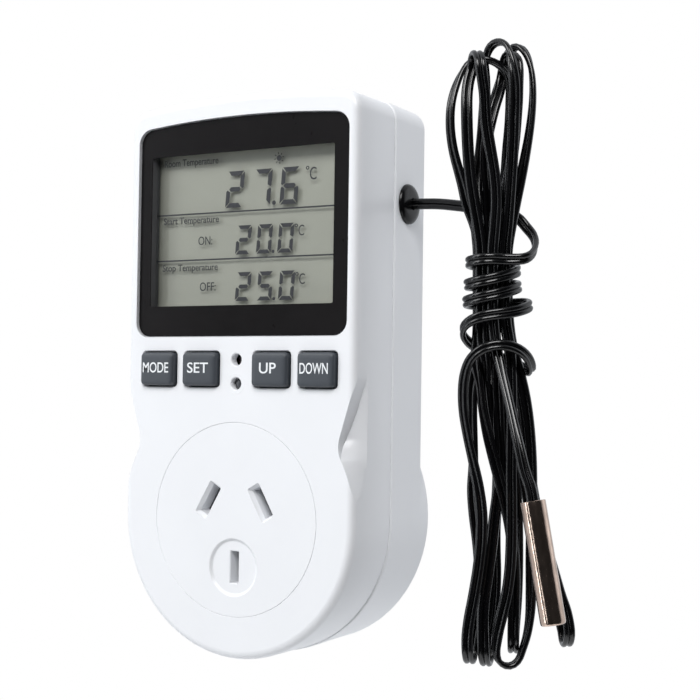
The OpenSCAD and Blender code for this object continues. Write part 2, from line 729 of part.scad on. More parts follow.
module sensor_connector() {
    color("white") difference() {
        box(15, 21, F(11), -17.4, 59.8, 64.4);
        box(15.8, 20.2, -22, -17, 60.6, 63.6);
    }
}

module sensor_lead_inner() {
    color([0.05, 0.05, 0.05]) swept(smooth(inner_route, 2), cord_w / 2, cord_t / 2, [0, 0, 1]);
}

module sensor_cord_lead() {
    color([0.05, 0.05, 0.05]) swept(smooth(lead_route, 2), cord_w / 2, cord_t / 2, [0, 0, 1]);
}

module sensor_cord_hank() {
    color([0.05, 0.05, 0.05]) slab(-22 - hank_d / 2, -22 + hank_d / 2) {
        polygon(concat(hank_left, [for (i = [len(hank_right) - 1:-1:0]) hank_right[i]]));
        translate([54, 90.6]) circle(r = 10);
        translate([56.5, -19.5]) circle(r = 8.5);
        polygon([[56, -28], [66, -26], [74.3, -16.4], [66, -6], [56, -12]]);
        translate([71.2, -18]) circle(r = 3.5);
    }
}

module sensor_cord_tail() {
    color([0.05, 0.05, 0.05]) swept(smooth(tail_route, 2), cord_w / 2, cord_t / 2, [1, 0, 0]);
}

module on_probe() {
    translate(probe_top) rotate([0, -probe_lean, 0]) children();
}

module probe_tube() {
    color("silver") on_probe() difference() {
        translate([0, 0, -probe_len]) cylinder(h = probe_len, r = probe_r);
        translate([0, 0, -probe_len + 0.6]) cylinder(h = probe_len, r = probe_r - 0.4);
    }
}

module probe_potting() {
    color([0.1, 0.1, 0.1]) on_probe() difference() {
        translate([0, 0, -probe_len + 5]) cylinder(h = probe_len - 6, r = probe_r - 0.42);
        translate([-1.5, -1, -4]) cube([3, 2, 6]);
    }
}

module thermistor_bead() {
    color([0.3, 0.2, 0.1]) on_probe() translate([0, 0, -probe_len + 2.9]) {
        sphere(r = 1.2);
        for (s = [-1, 1]) translate([s * 0.5, 0, 0.9]) cylinder(h = 1.15, r = 0.2);
    }
}

front_shell();
rear_shell();
case_screws();
display_window();
window_mask();
lcd_panel();
lcd_light_guide();
lcd_holder();
lcd_connector();
control_board();
control_board_screws();
controller_chip();
key_mat();
mode_key();
set_key();
up_key();
down_key();
mode_key_pill();
set_key_pill();
up_key_pill();
down_key_pill();
indicator_led();
reset_switch();
reset_plunger();
socket_insert();
contact_carrier();
socket_shutter();
shutter_spring();
active_contact();
neutral_contact();
earth_contact();
active_pin();
neutral_pin();
earth_pin();
active_pin_sleeve();
neutral_pin_sleeve();
pin_clamp();
active_in_wire();
active_out_wire();
neutral_wire();
power_board();
power_board_screws();
relay_case();
relay_coil();
relay_armature();
dropper_capacitor();
supply_capacitor();
varistor();
fuse();
board_header();
cord_gland();
sensor_connector();
sensor_lead_inner();
sensor_cord_lead();
sensor_cord_hank();
sensor_cord_tail();
probe_tube();
probe_potting();
thermistor_bead();
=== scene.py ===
import json
import math

import bmesh
import bpy
import numpy as np
from mathutils import Matrix, Vector


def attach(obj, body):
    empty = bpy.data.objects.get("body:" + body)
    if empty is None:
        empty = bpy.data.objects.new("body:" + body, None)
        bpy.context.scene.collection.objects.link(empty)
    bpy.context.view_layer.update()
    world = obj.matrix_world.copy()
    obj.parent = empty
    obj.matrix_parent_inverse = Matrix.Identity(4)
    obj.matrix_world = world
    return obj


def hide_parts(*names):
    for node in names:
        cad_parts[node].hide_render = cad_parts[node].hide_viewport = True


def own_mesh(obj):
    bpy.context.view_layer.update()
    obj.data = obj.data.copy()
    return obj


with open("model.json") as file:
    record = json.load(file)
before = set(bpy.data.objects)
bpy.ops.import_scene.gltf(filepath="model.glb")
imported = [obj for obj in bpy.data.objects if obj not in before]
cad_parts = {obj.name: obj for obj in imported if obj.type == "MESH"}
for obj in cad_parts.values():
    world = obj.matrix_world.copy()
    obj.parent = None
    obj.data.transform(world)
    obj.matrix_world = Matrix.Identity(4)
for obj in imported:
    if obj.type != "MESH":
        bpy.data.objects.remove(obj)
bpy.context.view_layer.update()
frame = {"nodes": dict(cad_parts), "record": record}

MM = 0.001
CASE_D = 34.0


def F(d):
    """depth behind the front face, in mm, as a row y value in mm"""
    return d - CASE_D


# ---------------------------------------------------------------- camera
FOCAL = 1423.3045  # pixels, for an image 700 wide
RX, RY, RZ = -0.026738, 0.533376, 0.014284
EYE = np.array([177.6333, -286.4982, 28.7121])  # mm, row frame


def rotation(rx, ry, rz):
    cx, sx, cy, sy, cz, sz = (math.cos(rx), math.sin(rx), math.cos(ry), math.sin(ry),
                              math.cos(rz), math.sin(rz))
    x = np.array([[1, 0, 0], [0, cx, -sx], [0, sx, cx]])
    y = np.array([[cy, 0, sy], [0, 1, 0], [-sy, 0, cy]])
    z = np.array([[cz, -sz, 0], [sz, cz, 0], [0, 0, 1]])
    return z @ x @ y


ROT = rotation(RX, RY, RZ) @ np.array([[1, 0, 0], [0, 0, -1], [0, 1, 0]])
RIGHT = ROT.T @ np.array([1.0, 0, 0])
DOWN = ROT.T @ np.array([0, 1.0, 0])
AHEAD = ROT.T @ np.array([0, 0, 1.0])

cam_data = bpy.data.cameras.new("camera")
cam_data.lens = FOCAL * 36.0 / 700.0
cam_data.sensor_width = 36.0
cam_data.clip_start = 0.01
cam_data.clip_end = 20
cam = bpy.data.objects.new("camera", cam_data)
bpy.context.scene.collection.objects.link(cam)
m = Matrix.Identity(4)
for i in range(3):
    m[i][0], m[i][1], m[i][2], m[i][3] = RIGHT[i], -DOWN[i], -AHEAD[i], EYE[i] * MM
cam.matrix_world = m
bpy.context.scene.camera = cam

# the hank hangs beside the case: its middle line, and the two level directions
# that it is laid out in, across the view and away from the camera
HANK = np.array([54.9, -22.0, 45.0])
HANK_FAR = 290.49
ACROSS = np.array([0.8613, 0.5081, 0.0])
AWAY = np.array([-0.5081, 0.8613, 0.0])


def at(u, v, b):
    """the point that the camera sees at (u, v), b mm further away than the hank's middle"""
    ray = ROT.T @ np.array([(u - 350.0) / FOCAL, (v - 350.0) / FOCAL, 1.0])
    return EYE + (HANK_FAR + b) * ray


# ---------------------------------------------------------------- materials
def node_material(name, base, rough, metal=0.0, vary=0.05, scale=60.0, bump=0.02,
                  bump_scale=400.0, rough_vary=0.06, coat=0.0, coat_rough=0.05,
                  specular=0.5, stretch=None, tint=None):
    """A procedural material: colour, roughness and a fine bump all vary by noise."""
    mt = bpy.data.materials.new(name)
    mt.use_nodes = True
    nt = mt.node_tree
    nd, lk = nt.nodes, nt.links
    bsdf = nd["Principled BSDF"]
    bsdf.inputs["Metallic"].default_value = metal
    bsdf.inputs["Specular IOR Level"].default_value = specular
    bsdf.inputs["Coat Weight"].default_value = coat
    bsdf.inputs["Coat Roughness"].default_value = coat_rough
    tc = nd.new("ShaderNodeTexCoord")
    mp = nd.new("ShaderNodeMapping")
    mp.inputs["Scale"].default_value = stretch or (1, 1, 1)
    lk.new(tc.outputs["Object"], mp.inputs["Vector"])
    n1 = nd.new("ShaderNodeTexNoise")
    n1.inputs["Scale"].default_value = scale
    n1.inputs["Detail"].default_value = 4
    lk.new(mp.outputs["Vector"], n1.inputs["Vector"])
    ramp = nd.new("ShaderNodeValToRGB")
    lo = [max(0.0, c * (1 - vary)) for c in base]
    hi = [min(1.0, c * (1 + vary)) for c in base]
    if tint:
        lo = [a * b for a, b in zip(lo, tint)]
    ramp.color_ramp.elements[0].position = 0.3
    ramp.color_ramp.elements[0].color = (*lo, 1)
    ramp.color_ramp.elements[1].position = 0.7
    ramp.color_ramp.elements[1].color = (*hi, 1)
    lk.new(n1.outputs["Fac"], ramp.inputs["Fac"])
    lk.new(ramp.outputs["Color"], bsdf.inputs["Base Color"])
    n2 = nd.new("ShaderNodeTexNoise")
    n2.inputs["Scale"].default_value = bump_scale
    n2.inputs["Detail"].default_value = 3
    lk.new(mp.outputs["Vector"], n2.inputs["Vector"])
    mr = nd.new("ShaderNodeMapRange")
    mr.inputs["To Min"].default_value = max(0.02, rough - rough_vary)
    mr.inputs["To Max"].default_value = min(1.0, rough + rough_vary)
    lk.new(n2.outputs["Fac"], mr.inputs["Value"])
    lk.new(mr.outputs["Result"], bsdf.inputs["Roughness"])
    if bump > 0:
        bp = nd.new("ShaderNodeBump")
        bp.inputs["Strength"].default_value = bump
        bp.inputs["Distance"].default_value = 0.0002
        lk.new(n2.outputs["Fac"], bp.inputs["Height"])
        lk.new(bp.outputs["Normal"], bsdf.inputs["Normal"])
    return mt


def clear_material(name, tone, f0=0.034):
    """A clear pane: what is behind it shows through, with a sheen that grows at a glancing angle."""
    mt = bpy.data.materials.new(name)
    mt.use_nodes = True
    nt = mt.node_tree
    nd, lk = nt.nodes, nt.links
    nd.remove(nd["Principled BSDF"])
    out = nd["Material Output"]
    clear = nd.new("ShaderNodeBsdfTransparent")
    clear.inputs["Color"].default_value = (*tone, 1)
    gloss = nd.new("ShaderNodeBsdfGlossy")
    gloss.inputs["Roughness"].default_value = 0.04
    gloss.inputs["Color"].default_value = (1, 1, 1, 1)
    lw = nd.new("ShaderNodeLayerWeight")
    lw.inputs["Blend"].default_value = 0.5
    pw = nd.new("ShaderNodeMath")
    pw.operation = "POWER"
    pw.inputs[1].default_value = 5.0
    lk.new(lw.outputs["Facing"], pw.inputs[0])
    fr = nd.new("ShaderNodeMath")
    fr.operation = "MULTIPLY_ADD"
    fr.inputs[1].default_value = 1.0 - f0
    fr.inputs[2].default_value = f0
    lk.new(pw.outputs["Value"], fr.inputs[0])
    n = nd.new("ShaderNodeTexNoise")
    n.inputs["Scale"].default_value = 900
    tc = nd.new("ShaderNodeTexCoord")
    lk.new(tc.outputs["Object"], n.inputs["Vector"])
    bp = nd.new("ShaderNodeBump")
    bp.inputs["Strength"].default_value = 0.01
    bp.inputs["Distance"].default_value = 0.0001
    lk.new(n.outputs["Fac"], bp.inputs["Height"])
    lk.new(bp.outputs["Normal"], gloss.inputs["Normal"])
    mix = nd.new("ShaderNodeMixShader")
    lk.new(fr.outputs["Value"], mix.inputs["Fac"])
    lk.new(clear.outputs["BSDF"], mix.inputs[1])
    lk.new(gloss.outputs["BSDF"], mix.inputs[2])
    lk.new(mix.outputs["Shader"], out.inputs["Surface"])
    return mt


M = {
    "case_white": node_material("case_white", (0.80, 0.81, 0.835), 0.34, vary=0.012, bump=0.03,
                                bump_scale=1600, rough_vary=0.04),
    "socket_white": node_material("socket_white", (0.80, 0.81, 0.835), 0.33, vary=0.012, bump=0.03,
                                  bump_scale=1500, rough_vary=0.04),
    "window_clear": clear_material("window_clear", (0.98, 0.98, 0.98)),
    "window_black": node_material("window_black", (0.006, 0.005, 0.0055), 0.3, vary=0.2, bump=0.0, specular=0.12),
    "display_grey": node_material("display_grey", (0.345, 0.355, 0.305), 0.42, vary=0.03, scale=90,
                                  bump=0.0, rough_vary=0.03),
    "lcd_ink": node_material("lcd_ink", (0.02, 0.022, 0.027), 0.5, vary=0.15, bump=0.0),
    # faint display print, also used for a painted shadow strip along the display's left edge
    "lcd_faint": node_material("lcd_faint", (0.036, 0.039, 0.039), 0.5, vary=0.1, bump=0.0),
    # painted shade: the colour of the dark strip on the display opening's left wall
    "shade_grey": node_material("shade_grey", (0.085, 0.086, 0.09), 0.6, vary=0.1, bump=0.0, specular=0.1),
    "light_guide": node_material("light_guide", (0.75, 0.77, 0.75), 0.2, vary=0.02),
    "frame_white": node_material("frame_white", (0.72, 0.72, 0.70), 0.45, vary=0.03),
    "strip_rubber": node_material("strip_rubber", (0.18, 0.18, 0.2), 0.7, vary=0.3, scale=900),
    "board_green": node_material("board_green", (0.012, 0.11, 0.05), 0.32, vary=0.25, scale=350,
                                 bump=0.1),
    "moulding_black": node_material("moulding_black", (0.012, 0.012, 0.013), 0.4, vary=0.2),
    "key_rubber": node_material("key_rubber", (0.045, 0.052, 0.063), 0.47, vary=0.06, bump=0.10,
                                bump_scale=1500, rough_vary=0.05),
    "key_white": node_material("key_white", (0.80, 0.82, 0.84), 0.5, vary=0.02, bump=0.0),
    "carbon_black": node_material("carbon_black", (0.01, 0.01, 0.01), 0.8, vary=0.3),
    "led_red": node_material("led_red", (0.045, 0.03, 0.035), 0.12, vary=0.1, coat=1.0),
    "plunger_grey": node_material("plunger_grey", (0.055, 0.058, 0.066), 0.35, vary=0.08),
    "nylon": node_material("nylon", (0.70, 0.69, 0.63), 0.4, vary=0.03),
    "shutter_grey": node_material("shutter_grey", (0.16, 0.17, 0.19), 0.4, vary=0.05),
    "screw_steel": node_material("screw_steel", (0.55, 0.55, 0.56), 0.3, metal=1.0, vary=0.06,
                                 bump=0.05),
    "spring_steel": node_material("spring_steel", (0.55, 0.55, 0.56), 0.25, metal=1.0, vary=0.05),
    "brass_spring": node_material("brass_spring", (0.62, 0.42, 0.16), 0.28, metal=1.0, vary=0.06),
    "pin_brass": node_material("pin_brass", (0.72, 0.53, 0.22), 0.24, metal=1.0, vary=0.05,
                               scale=120, bump=0.06, stretch=(1, 0.15, 1)),
    "sleeve_black": node_material("sleeve_black", (0.012, 0.012, 0.013), 0.42, vary=0.2),
    "wire_brown": node_material("wire_brown", (0.16, 0.055, 0.02), 0.4, vary=0.08),
    "wire_blue": node_material("wire_blue", (0.02, 0.09, 0.35), 0.4, vary=0.08),
    "relay_blue": node_material("relay_blue", (0.015, 0.06, 0.22), 0.35, vary=0.06),
    "coil_copper": node_material("coil_copper", (0.62, 0.25, 0.10), 0.35, metal=1.0, vary=0.12,
                                 scale=300, stretch=(8, 1, 1)),
    "relay_steel": node_material("relay_steel", (0.5, 0.5, 0.5), 0.3, metal=1.0, vary=0.06),
    "capacitor_yellow": node_material("capacitor_yellow", (0.55, 0.33, 0.04), 0.42, vary=0.06),
    "capacitor_dark": node_material("capacitor_dark", (0.02, 0.025, 0.05), 0.3, vary=0.1),
    "varistor_blue": node_material("varistor_blue", (0.02, 0.12, 0.38), 0.4, vary=0.1, bump=0.1),
    "fuse_ceramic": node_material("fuse_ceramic", (0.62, 0.60, 0.54), 0.45, vary=0.05),
    "gland_black": node_material("gland_black", (0.003, 0.003, 0.0035), 0.2, vary=0.2, bump=0.02,
                                 bump_scale=900, rough_vary=0.05, specular=0.25),
    "cord_black": node_material("cord_black", (0.0016, 0.0016, 0.0021), 0.2, vary=0.2, scale=140,
                                bump=0.012, bump_scale=500, rough_vary=0.04),
    "probe_metal": node_material("probe_metal", (0.51, 0.395, 0.33), 0.15, metal=1.0, vary=0.22,
                                 scale=900, bump=0.12, bump_scale=1400, rough_vary=0.05,
                                 stretch=(1, 1, 0.35)),
    "potting_black": node_material("potting_black", (0.012, 0.012, 0.012), 0.35, vary=0.2),
    "bead_brown": node_material("bead_brown", (0.09, 0.04, 0.02), 0.3, vary=0.1),
}


def paint_shade_left(mt, x0, x1, least):
    """Painted shade: darkens a material's colour towards the left of the object, from x1 to x0 (m)."""
    nt = mt.node_tree
    nd, lk = nt.nodes, nt.links
    bsdf = nd["Principled BSDF"]
    src = bsdf.inputs["Base Color"].links[0].from_socket
    tc = nd.new("ShaderNodeTexCoord")
    sp = nd.new("ShaderNodeSeparateXYZ")
    lk.new(tc.outputs["Object"], sp.inputs["Vector"])
    mr = nd.new("ShaderNodeMapRange")
    mr.interpolation_type = "SMOOTHSTEP"
    mr.inputs["From Min"].default_value = x0
    mr.inputs["From Max"].default_value = x1
    mr.inputs["To Min"].default_value = least
    mr.inputs["To Max"].default_value = 1.0
    lk.new(sp.outputs["X"], mr.inputs["Value"])
    vm = nd.new("ShaderNodeVectorMath")
    vm.operation = "SCALE"
    lk.new(src, vm.inputs[0])
    lk.new(mr.outputs["Result"], vm.inputs["Scale"])
    lk.new(vm.outputs["Vector"], bsdf.inputs["Base Color"])


# painted shade: the display's colour darkens towards its left edge, standing in for the mask's shade there
paint_shade_left(M["display_grey"], -0.0262, -0.017, 0.6)


# ---------------------------------------------------------------- mesh helpers (mm in, metres out)
def make(name, verts, faces, mat=None, smooth=True, sharp=None):
    me = bpy.data.meshes.new(name)
    me.from_pydata([(v[0] * MM, v[1] * MM, v[2] * MM) for v in verts], [], faces)
    me.validate()
    ob = bpy.data.objects.new(name, me)
    bpy.context.scene.collection.objects.link(ob)
    bm = bmesh.new()
    bm.from_mesh(me)
    bmesh.ops.recalc_face_normals(bm, faces=bm.faces)
    bm.to_mesh(me)
    bm.free()
    if mat:
        me.materials.append(M[mat])
    if smooth:
        me.polygons.foreach_set("use_smooth", [True] * len(me.polygons))
        if sharp:
            me.set_sharp_from_angle(angle=math.radians(sharp))
    return ob


def loft(name, rings, mat=None, sharp=30, closed=False):
    """A closed solid through rings of equal length; closed joins the last ring to the first."""
    n, k = len(rings[0]), len(rings)
    verts = [p for r in rings for p in r]
    faces = []
    for i in range(k if closed else k - 1):
        a, b = i * n, ((i + 1) % k) * n
        for j in range(n):
            j2 = (j + 1) % n
            faces.append((a + j, a + j2, b + j2, b + j))
    if not closed:
        faces.append(tuple(range(n)))
        faces.append(tuple((k - 1) * n + j for j in range(n - 1, -1, -1)))
    return make(name, verts, faces, mat, sharp=sharp)


def boolean(target, cutters, operation="DIFFERENCE"):
    """Applies the cutters to target's own mesh and removes them."""
    for c in cutters:
        md = target.modifiers.new("cut", "BOOLEAN")
        md.operation = operation
        md.solver = "EXACT"
        md.object = c
    dg = bpy.context.evaluated_depsgraph_get()
    dg.update()
    me = bpy.data.meshes.new_from_object(target.evaluated_get(dg), depsgraph=dg)
    old = target.data
    target.modifiers.clear()
    target.data = me
    bpy.data.meshes.remove(old)
    for c in cutters:
        d = c.data
        bpy.data.objects.remove(c)
        bpy.data.meshes.remove(d)
    return target


def finish_solid(ob, mat, sharp=28, merge=0.002):
    me = ob.data
    bm = bmesh.new()
    bm.from_mesh(me)
    bmesh.ops.remove_doubles(bm, verts=bm.verts, dist=merge * MM)
    bmesh.ops.dissolve_degenerate(bm, edges=bm.edges, dist=merge * MM)
    bmesh.ops.recalc_face_normals(bm, faces=bm.faces)
    bm.to_mesh(me)
    bm.free()
    me.materials.clear()
    me.materials.append(M[mat])
    me.polygons.foreach_set("use_smooth", [True] * len(me.polygons))
    me.polygons.foreach_set("material_index", [0] * len(me.polygons))
    me.set_sharp_from_angle(angle=math.radians(sharp))
    # the large flat faces stay flat, so that the round edges beside them don't tint them
    me.polygons.foreach_set("use_smooth", [len(f.vertices) <= 12 for f in me.polygons])
    wn = ob.modifiers.new("normals", "WEIGHTED_NORMAL")
    wn.keep_sharp = True
    wn.weight = 60
    return ob


def ring_y(pts, y):
    return [(p[0], y, p[1]) for p in pts]


def arc2(cx, cz, r, a0, a1, n):
    return [(cx + r * math.cos(math.radians(a0 + (a1 - a0) * k / n)),
             cz + r * math.sin(math.radians(a0 + (a1 - a0) * k / n))) for k in range(n + 1)]


def rounded(w, h, r, cx=0.0, cz=0.0, n=6):
    pts = []
    for (sx, sz, a) in ((1, 1, 0), (-1, 1, 90), (-1, -1, 180), (1, -1, 270)):
        pts += arc2(cx + sx * (w / 2 - r), cz + sz * (h / 2 - r), r, a, a + 90, n)
    return pts


def circle2(cx, cz, r, n=96, a0=0.0):
    return [(cx + r * math.cos(2 * math.pi * k / n + a0), cz + r * math.sin(2 * math.pi * k / n + a0))
            for k in range(n)]


TOP_R, HALF_W, TOP_Z, CORNER = 250.0, 30.0, 92.4, 4.5


def arch_shape(h, z0, ztop, r, R, n_arc=40, n_c=10, n_side=10, bottom_r=0.8):
    """Outline with straight sides, a flat foot with small round corners and an arched top."""
    cz = ztop - R
    xc = h - r
    zc = cz + math.sqrt((R - r) ** 2 - xc * xc)
    a = math.degrees(math.atan2(zc - cz, xc))
    pts = arc2(h - bottom_r, z0 + bottom_r, bottom_r, 270, 360, 6)
    pts += [(h, z0 + bottom_r + (zc - z0 - bottom_r) * k / n_side) for k in range(1, n_side)]
    pts += arc2(xc, zc, r, 0, a, n_c)
    pts += arc2(0, cz, R, a, 180 - a, n_arc)[1:-1]
    pts += arc2(-xc, zc, r, 180 - a, 180, n_c)
    pts += [(-h, zc - (zc - z0 - bottom_r) * k / n_side) for k in range(1, n_side)]
    pts += arc2(-h + bottom_r, z0 + bottom_r, bottom_r, 180, 270, 6)
    return pts


def case_outline(i=0.0, n_side=14, n_bottom=72):
    """The case's outline moved inward by i: arched top, straight sides, half circle below."""
    h, R, r = HALF_W - i, TOP_R - i, max(CORNER - i, 0.8)
    cz = TOP_Z - i - R
    xc = h - r
    zc = cz + math.sqrt((R - r) ** 2 - xc * xc)
    a = math.degrees(math.atan2(zc - cz, xc))
    pts = [(h, zc * k / n_side) for k in range(1, n_side)]
    pts += arc2(xc, zc, r, 0, a, 12)
    pts += arc2(0, cz, R, a, 180 - a, 48)[1:-1]
    pts += arc2(-xc, zc, r, 180 - a, 180, 12)
    pts += [(-h, zc * (n_side - k) / n_side) for k in range(1, n_side)]
    pts += arc2(0, 0, h, 180, 360, n_bottom)
    return pts


def neck_x(z):
    """Half width of the front face at height z, with the neck."""
    if z >= 32.3:
        return 30.0
    if z >= 28.79:
        return 18 + math.sqrt(max(0.0, 144 - (z - 32.3) ** 2))
    if z >= 18.25:
        return 26.262 + (29.476 - 26.262) * (z - 18.254) / (28.791 - 18.254)
    if z >= 13.75:
        return 32 - math.sqrt(max(0.0, 36 - (z - 16.5) ** 2))
    return math.sqrt(max(0.0, 900 - z * z))


def front_profile(r, d_end, n=8):
    """(inset, depth) pairs of a round front edge of radius r, down to depth d_end."""
    out = []
    for k in range(n + 1):
        t = math.radians(90 * k / n)
        out.append((r * (1 - math.sin(t)), r * (1 - math.cos(t))))
    out.append((0.0, d_end))
    return out


# ---------------------------------------------------------------- front shell
def scallop_cutter(name, side):
    """The hollow at one side of the neck: a wall that follows the neck and a slanted floor."""
    def lerp(z, table):
        return float(np.interp(z, [t[0] for t in table], [t[1] for t in table]))
    wall_d = [(4.6, -0.4), (9, -0.25), (13.6, 0.02), (14.4, 0.6), (16, 1.8), (18, 3.1), (21, 3.8),
              (24, 4.3), (27, 4.4), (32.2, 4.7)]
    edge_d = [(4.6, 0.0), (5.2, 1.3), (6.4, 2.9), (8, 4.0), (10, 4.7), (12, 5.0), (16, 5.2), (32.3, 5.2)]
    rings = []
    for z in np.concatenate([np.linspace(4.6, 13.4, 12), np.linspace(13.8, 19, 14), np.linspace(19.8, 32.2, 16)]):
        xn, dn, dc = neck_x(z), lerp(z, wall_d), lerp(z, edge_d)
        dc = max(dc, dn + 0.05)
        ring = [(xn - 0.0, -3.0), (xn, dn - 0.02)]
        for t in (0.25, 0.5, 0.75):
            ring.append((xn + (30.0 - xn) * t, dn + (dc - dn) * t - 0.12 * math.sin(math.pi * t) * min(1, 30 - xn)))
        ring += [(30.0, dc), (32.5, dc + 0.6), (32.5, -3.0)]
        rings.append([(side * p[0], F(p[1]), z) for p in ring])
    return loft(name, rings)


shell_rings = [ring_y(case_outline(i), F(d)) for i, d in front_profile(1.7, 15.18)]
shell_rings.append(ring_y(case_outline(0.12), F(15.3)))
front = loft("front_case", shell_rings)
cut = [scallop_cutter("s1", 1), scallop_cutter("s2", -1)]
inner = loft("i1", [ring_y(case_outline(2.0), F(d)) for d in (7.0, 17.0)])


def neck_outline(i):
    """Outline of the front face with the neck, moved inward by i (enough for the hidden inside)."""
    pts = [(x, z) for x, z in case_outline(i) if z > 33]
    right = [(neck_x(z) - i * 1.04, z) for z in np.linspace(2, 33, 32)]
    left = [(-x, z) for x, z in reversed(right)]
    low = arc2(0, 0, 30 - i, 184, 356, 40)
    up = [p for p in pts]
    return right + up + left + low


inner2 = loft("i2", [ring_y(neck_outline(2.2), F(d)) for d in (2.0, 7.3)])
window_pocket = loft("w", [ring_y(arch_shape(27.7, 39.5, 87.7, 3.6, TOP_R, bottom_r=3.2), F(d)) for d in (-1, 1.0)])
lcd_open = loft("l", [ring_y(rounded(50.2, 35.6, 1.0, 0, 63.2), F(d)) for d in (-1, 3)])
cut += [inner, inner2, window_pocket, lcd_open]
KEY_X, KEY_Z = (-20.8, -9.2, 9.2, 20.8), 32.4
for x in KEY_X:
    cut.append(loft("k", [ring_y(rounded(10.0, 8.3, 1.1, x, KEY_Z), F(-0.5)),
                          ring_y(rounded(10.0, 8.3, 1.1, x, KEY_Z), F(0.0)),
                          ring_y(rounded(9.6, 7.9, 0.9, x, KEY_Z), F(0.2)),
                          ring_y(rounded(9.6, 7.9, 0.9, x, KEY_Z), F(3))]))
for z in (34.5, 29.3):
    cut.append(loft("h", [ring_y(circle2(0, z, 1.5, 48), F(-0.5)), ring_y(circle2(0, z, 1.5, 48), F(0.0)),
                          ring_y(circle2(0, z, 1.3, 48), F(0.2)), ring_y(circle2(0, z, 1.3, 48), F(3))]))
cut.append(loft("c", [ring_y(circle2(0, 0, 21.02, 144), F(-0.5)), ring_y(circle2(0, 0, 21.02, 144), F(0.0)),
                      ring_y(circle2(0, 0, 20.93, 144), F(0.1)), ring_y(circle2(0, 0, 20.93, 144), F(3))]))
boolean(front, cut)
finish_solid(front, "case_white")

# a faint moulded ring round the lower hole
ring = loft("hole_ring", [[((2.15 + 0.13 * math.cos(t)) * math.cos(a), F(0.02) - 0.05 * math.sin(t),
                            29.3 + (2.15 + 0.13 * math.cos(t)) * math.sin(a))
                           for a in np.linspace(0, 2 * math.pi, 48, endpoint=False)]
                          for t in np.linspace(0, 2 * math.pi, 8, endpoint=False)], "case_white",
            closed=True, sharp=60)

# bosses and the socket's ring inside, joined to the shell
SCREW_TOP, SCREW_LOW, BOARD_TOP, BOARD_LOW = (24.5, 85.3), (21, -14), (12, 85.4), (25.2, 40.4)


def tube(name, x, z, y0, y1, ro, ri, mat, n=32):
    return loft(name, [ring_y(circle2(x, z, r, n), y) for r, y in
                       ((ro, y0), (ro, y1), (ri, y1), (ri, y0))], mat, closed=True)


inside = []
for s in (-1, 1):
    inside.append(tube("boss", s * SCREW_TOP[0], SCREW_TOP[1], F(1.9), -15.1, 2.9, 1.45, "case_white"))
    inside.append(tube("boss", s * SCREW_LOW[0], SCREW_LOW[1], F(1.9), -15.1, 2.7, 1.45, "case_white"))
    inside.append(tube("boss", s * BOARD_TOP[0], BOARD_TOP[1], F(1.9), F(9.38), 2.1, 1.0, "case_white"))
    inside.append(tube("boss", s * BOARD_LOW[0], BOARD_LOW[1], F(1.9), F(9.38), 2.1, 1.0, "case_white"))
inside.append(tube("boss", 0, 0, F(1.9), F(6), 24, 22.5, "case_white", 96))


def join(name, obs):
    """One object of several, with the materials of the first."""
    bm = bmesh.new()
    for o in obs:
        bm.from_mesh(o.data)
    me = bpy.data.meshes.new(name)
    bm.to_mesh(me)
    bm.free()
    ob = bpy.data.objects.new(name, me)
    bpy.context.scene.collection.objects.link(ob)
    for mt in obs[0].data.materials:
        me.materials.append(mt)
    for o in obs:
        d = o.data
        bpy.data.objects.remove(o)
        bpy.data.meshes.remove(d)
    me.polygons.foreach_set("use_smooth", [True] * len(me.polygons))
    return ob


front_inside = join("front_case_inside", inside + [ring])
front_inside.data.set_sharp_from_angle(angle=math.radians(40))
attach(front, "case")
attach(front_inside, "case")
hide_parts("front_shell")
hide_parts("front_shell")

# ---------------------------------------------------------------- rear shell
back_r = 1.3
upper = arch_shape(30.004, -0.4, TOP_Z, CORNER, TOP_R, bottom_r=0.05)


def inset(pts, i):
    """Moves a convex outline inward by i, along its own normals."""
    p = np.array(pts)
    a, b = np.roll(p, 1, 0), np.roll(p, -1, 0)
    t = b - a
    t /= np.linalg.norm(t, axis=1)[:, None] + 1e-9
    n = np.stack([-t[:, 1], t[:, 0]], 1)
    return [tuple(q) for q in p + i * n]


LIP_R, LIP_Y = 0.5, -18.6
lip = [(-0.3 + LIP_R * (1 - math.sin(math.radians(15 * k))), LIP_Y + LIP_R * (1 - math.cos(math.radians(15 * k)))) for k in range(7)]
up_rings = [ring_y(inset(upper, 0.5), LIP_Y)] + [ring_y(inset(upper, i), y) for i, y in lip] + [ring_y(upper, -4 - back_r)]
for k in range(1, 7):
    t = math.radians(90 * k / 6)
    up_rings.append(ring_y(inset(upper, back_r * (1 - math.cos(t))), -4 - back_r + back_r * math.sin(t)))
rear = loft("rear_case", up_rings)
boss_rings = [ring_y(circle2(0, 0, 29.5, 144), LIP_Y)] + [ring_y(circle2(0, 0, 29.996 - i, 144), y) for i, y in lip]
boss_rings += [ring_y(circle2(0, 0, 29.998, 144), -4 - back_r), ring_y(circle2(0, 0, 30.0, 144), -1.2)]
for k in range(1, 7):
    t = math.radians(90 * k / 6)
    boss_rings.append(ring_y(circle2(0, 0, 30 - 1.2 * (1 - math.cos(t)), 144), -1.2 + 1.2 * math.sin(t)))
round_boss = loft("b", boss_rings)
boolean(rear, [round_boss], "UNION")
cut = [loft("i", [ring_y(case_outline(2.0), -20), ring_y(case_outline(2.0), -6.0)]),
       loft("i", [ring_y(circle2(0, 0, 28, 96), -6.5), ring_y(circle2(0, 0, 28, 96), -2.0)])]
boolean(rear, cut)


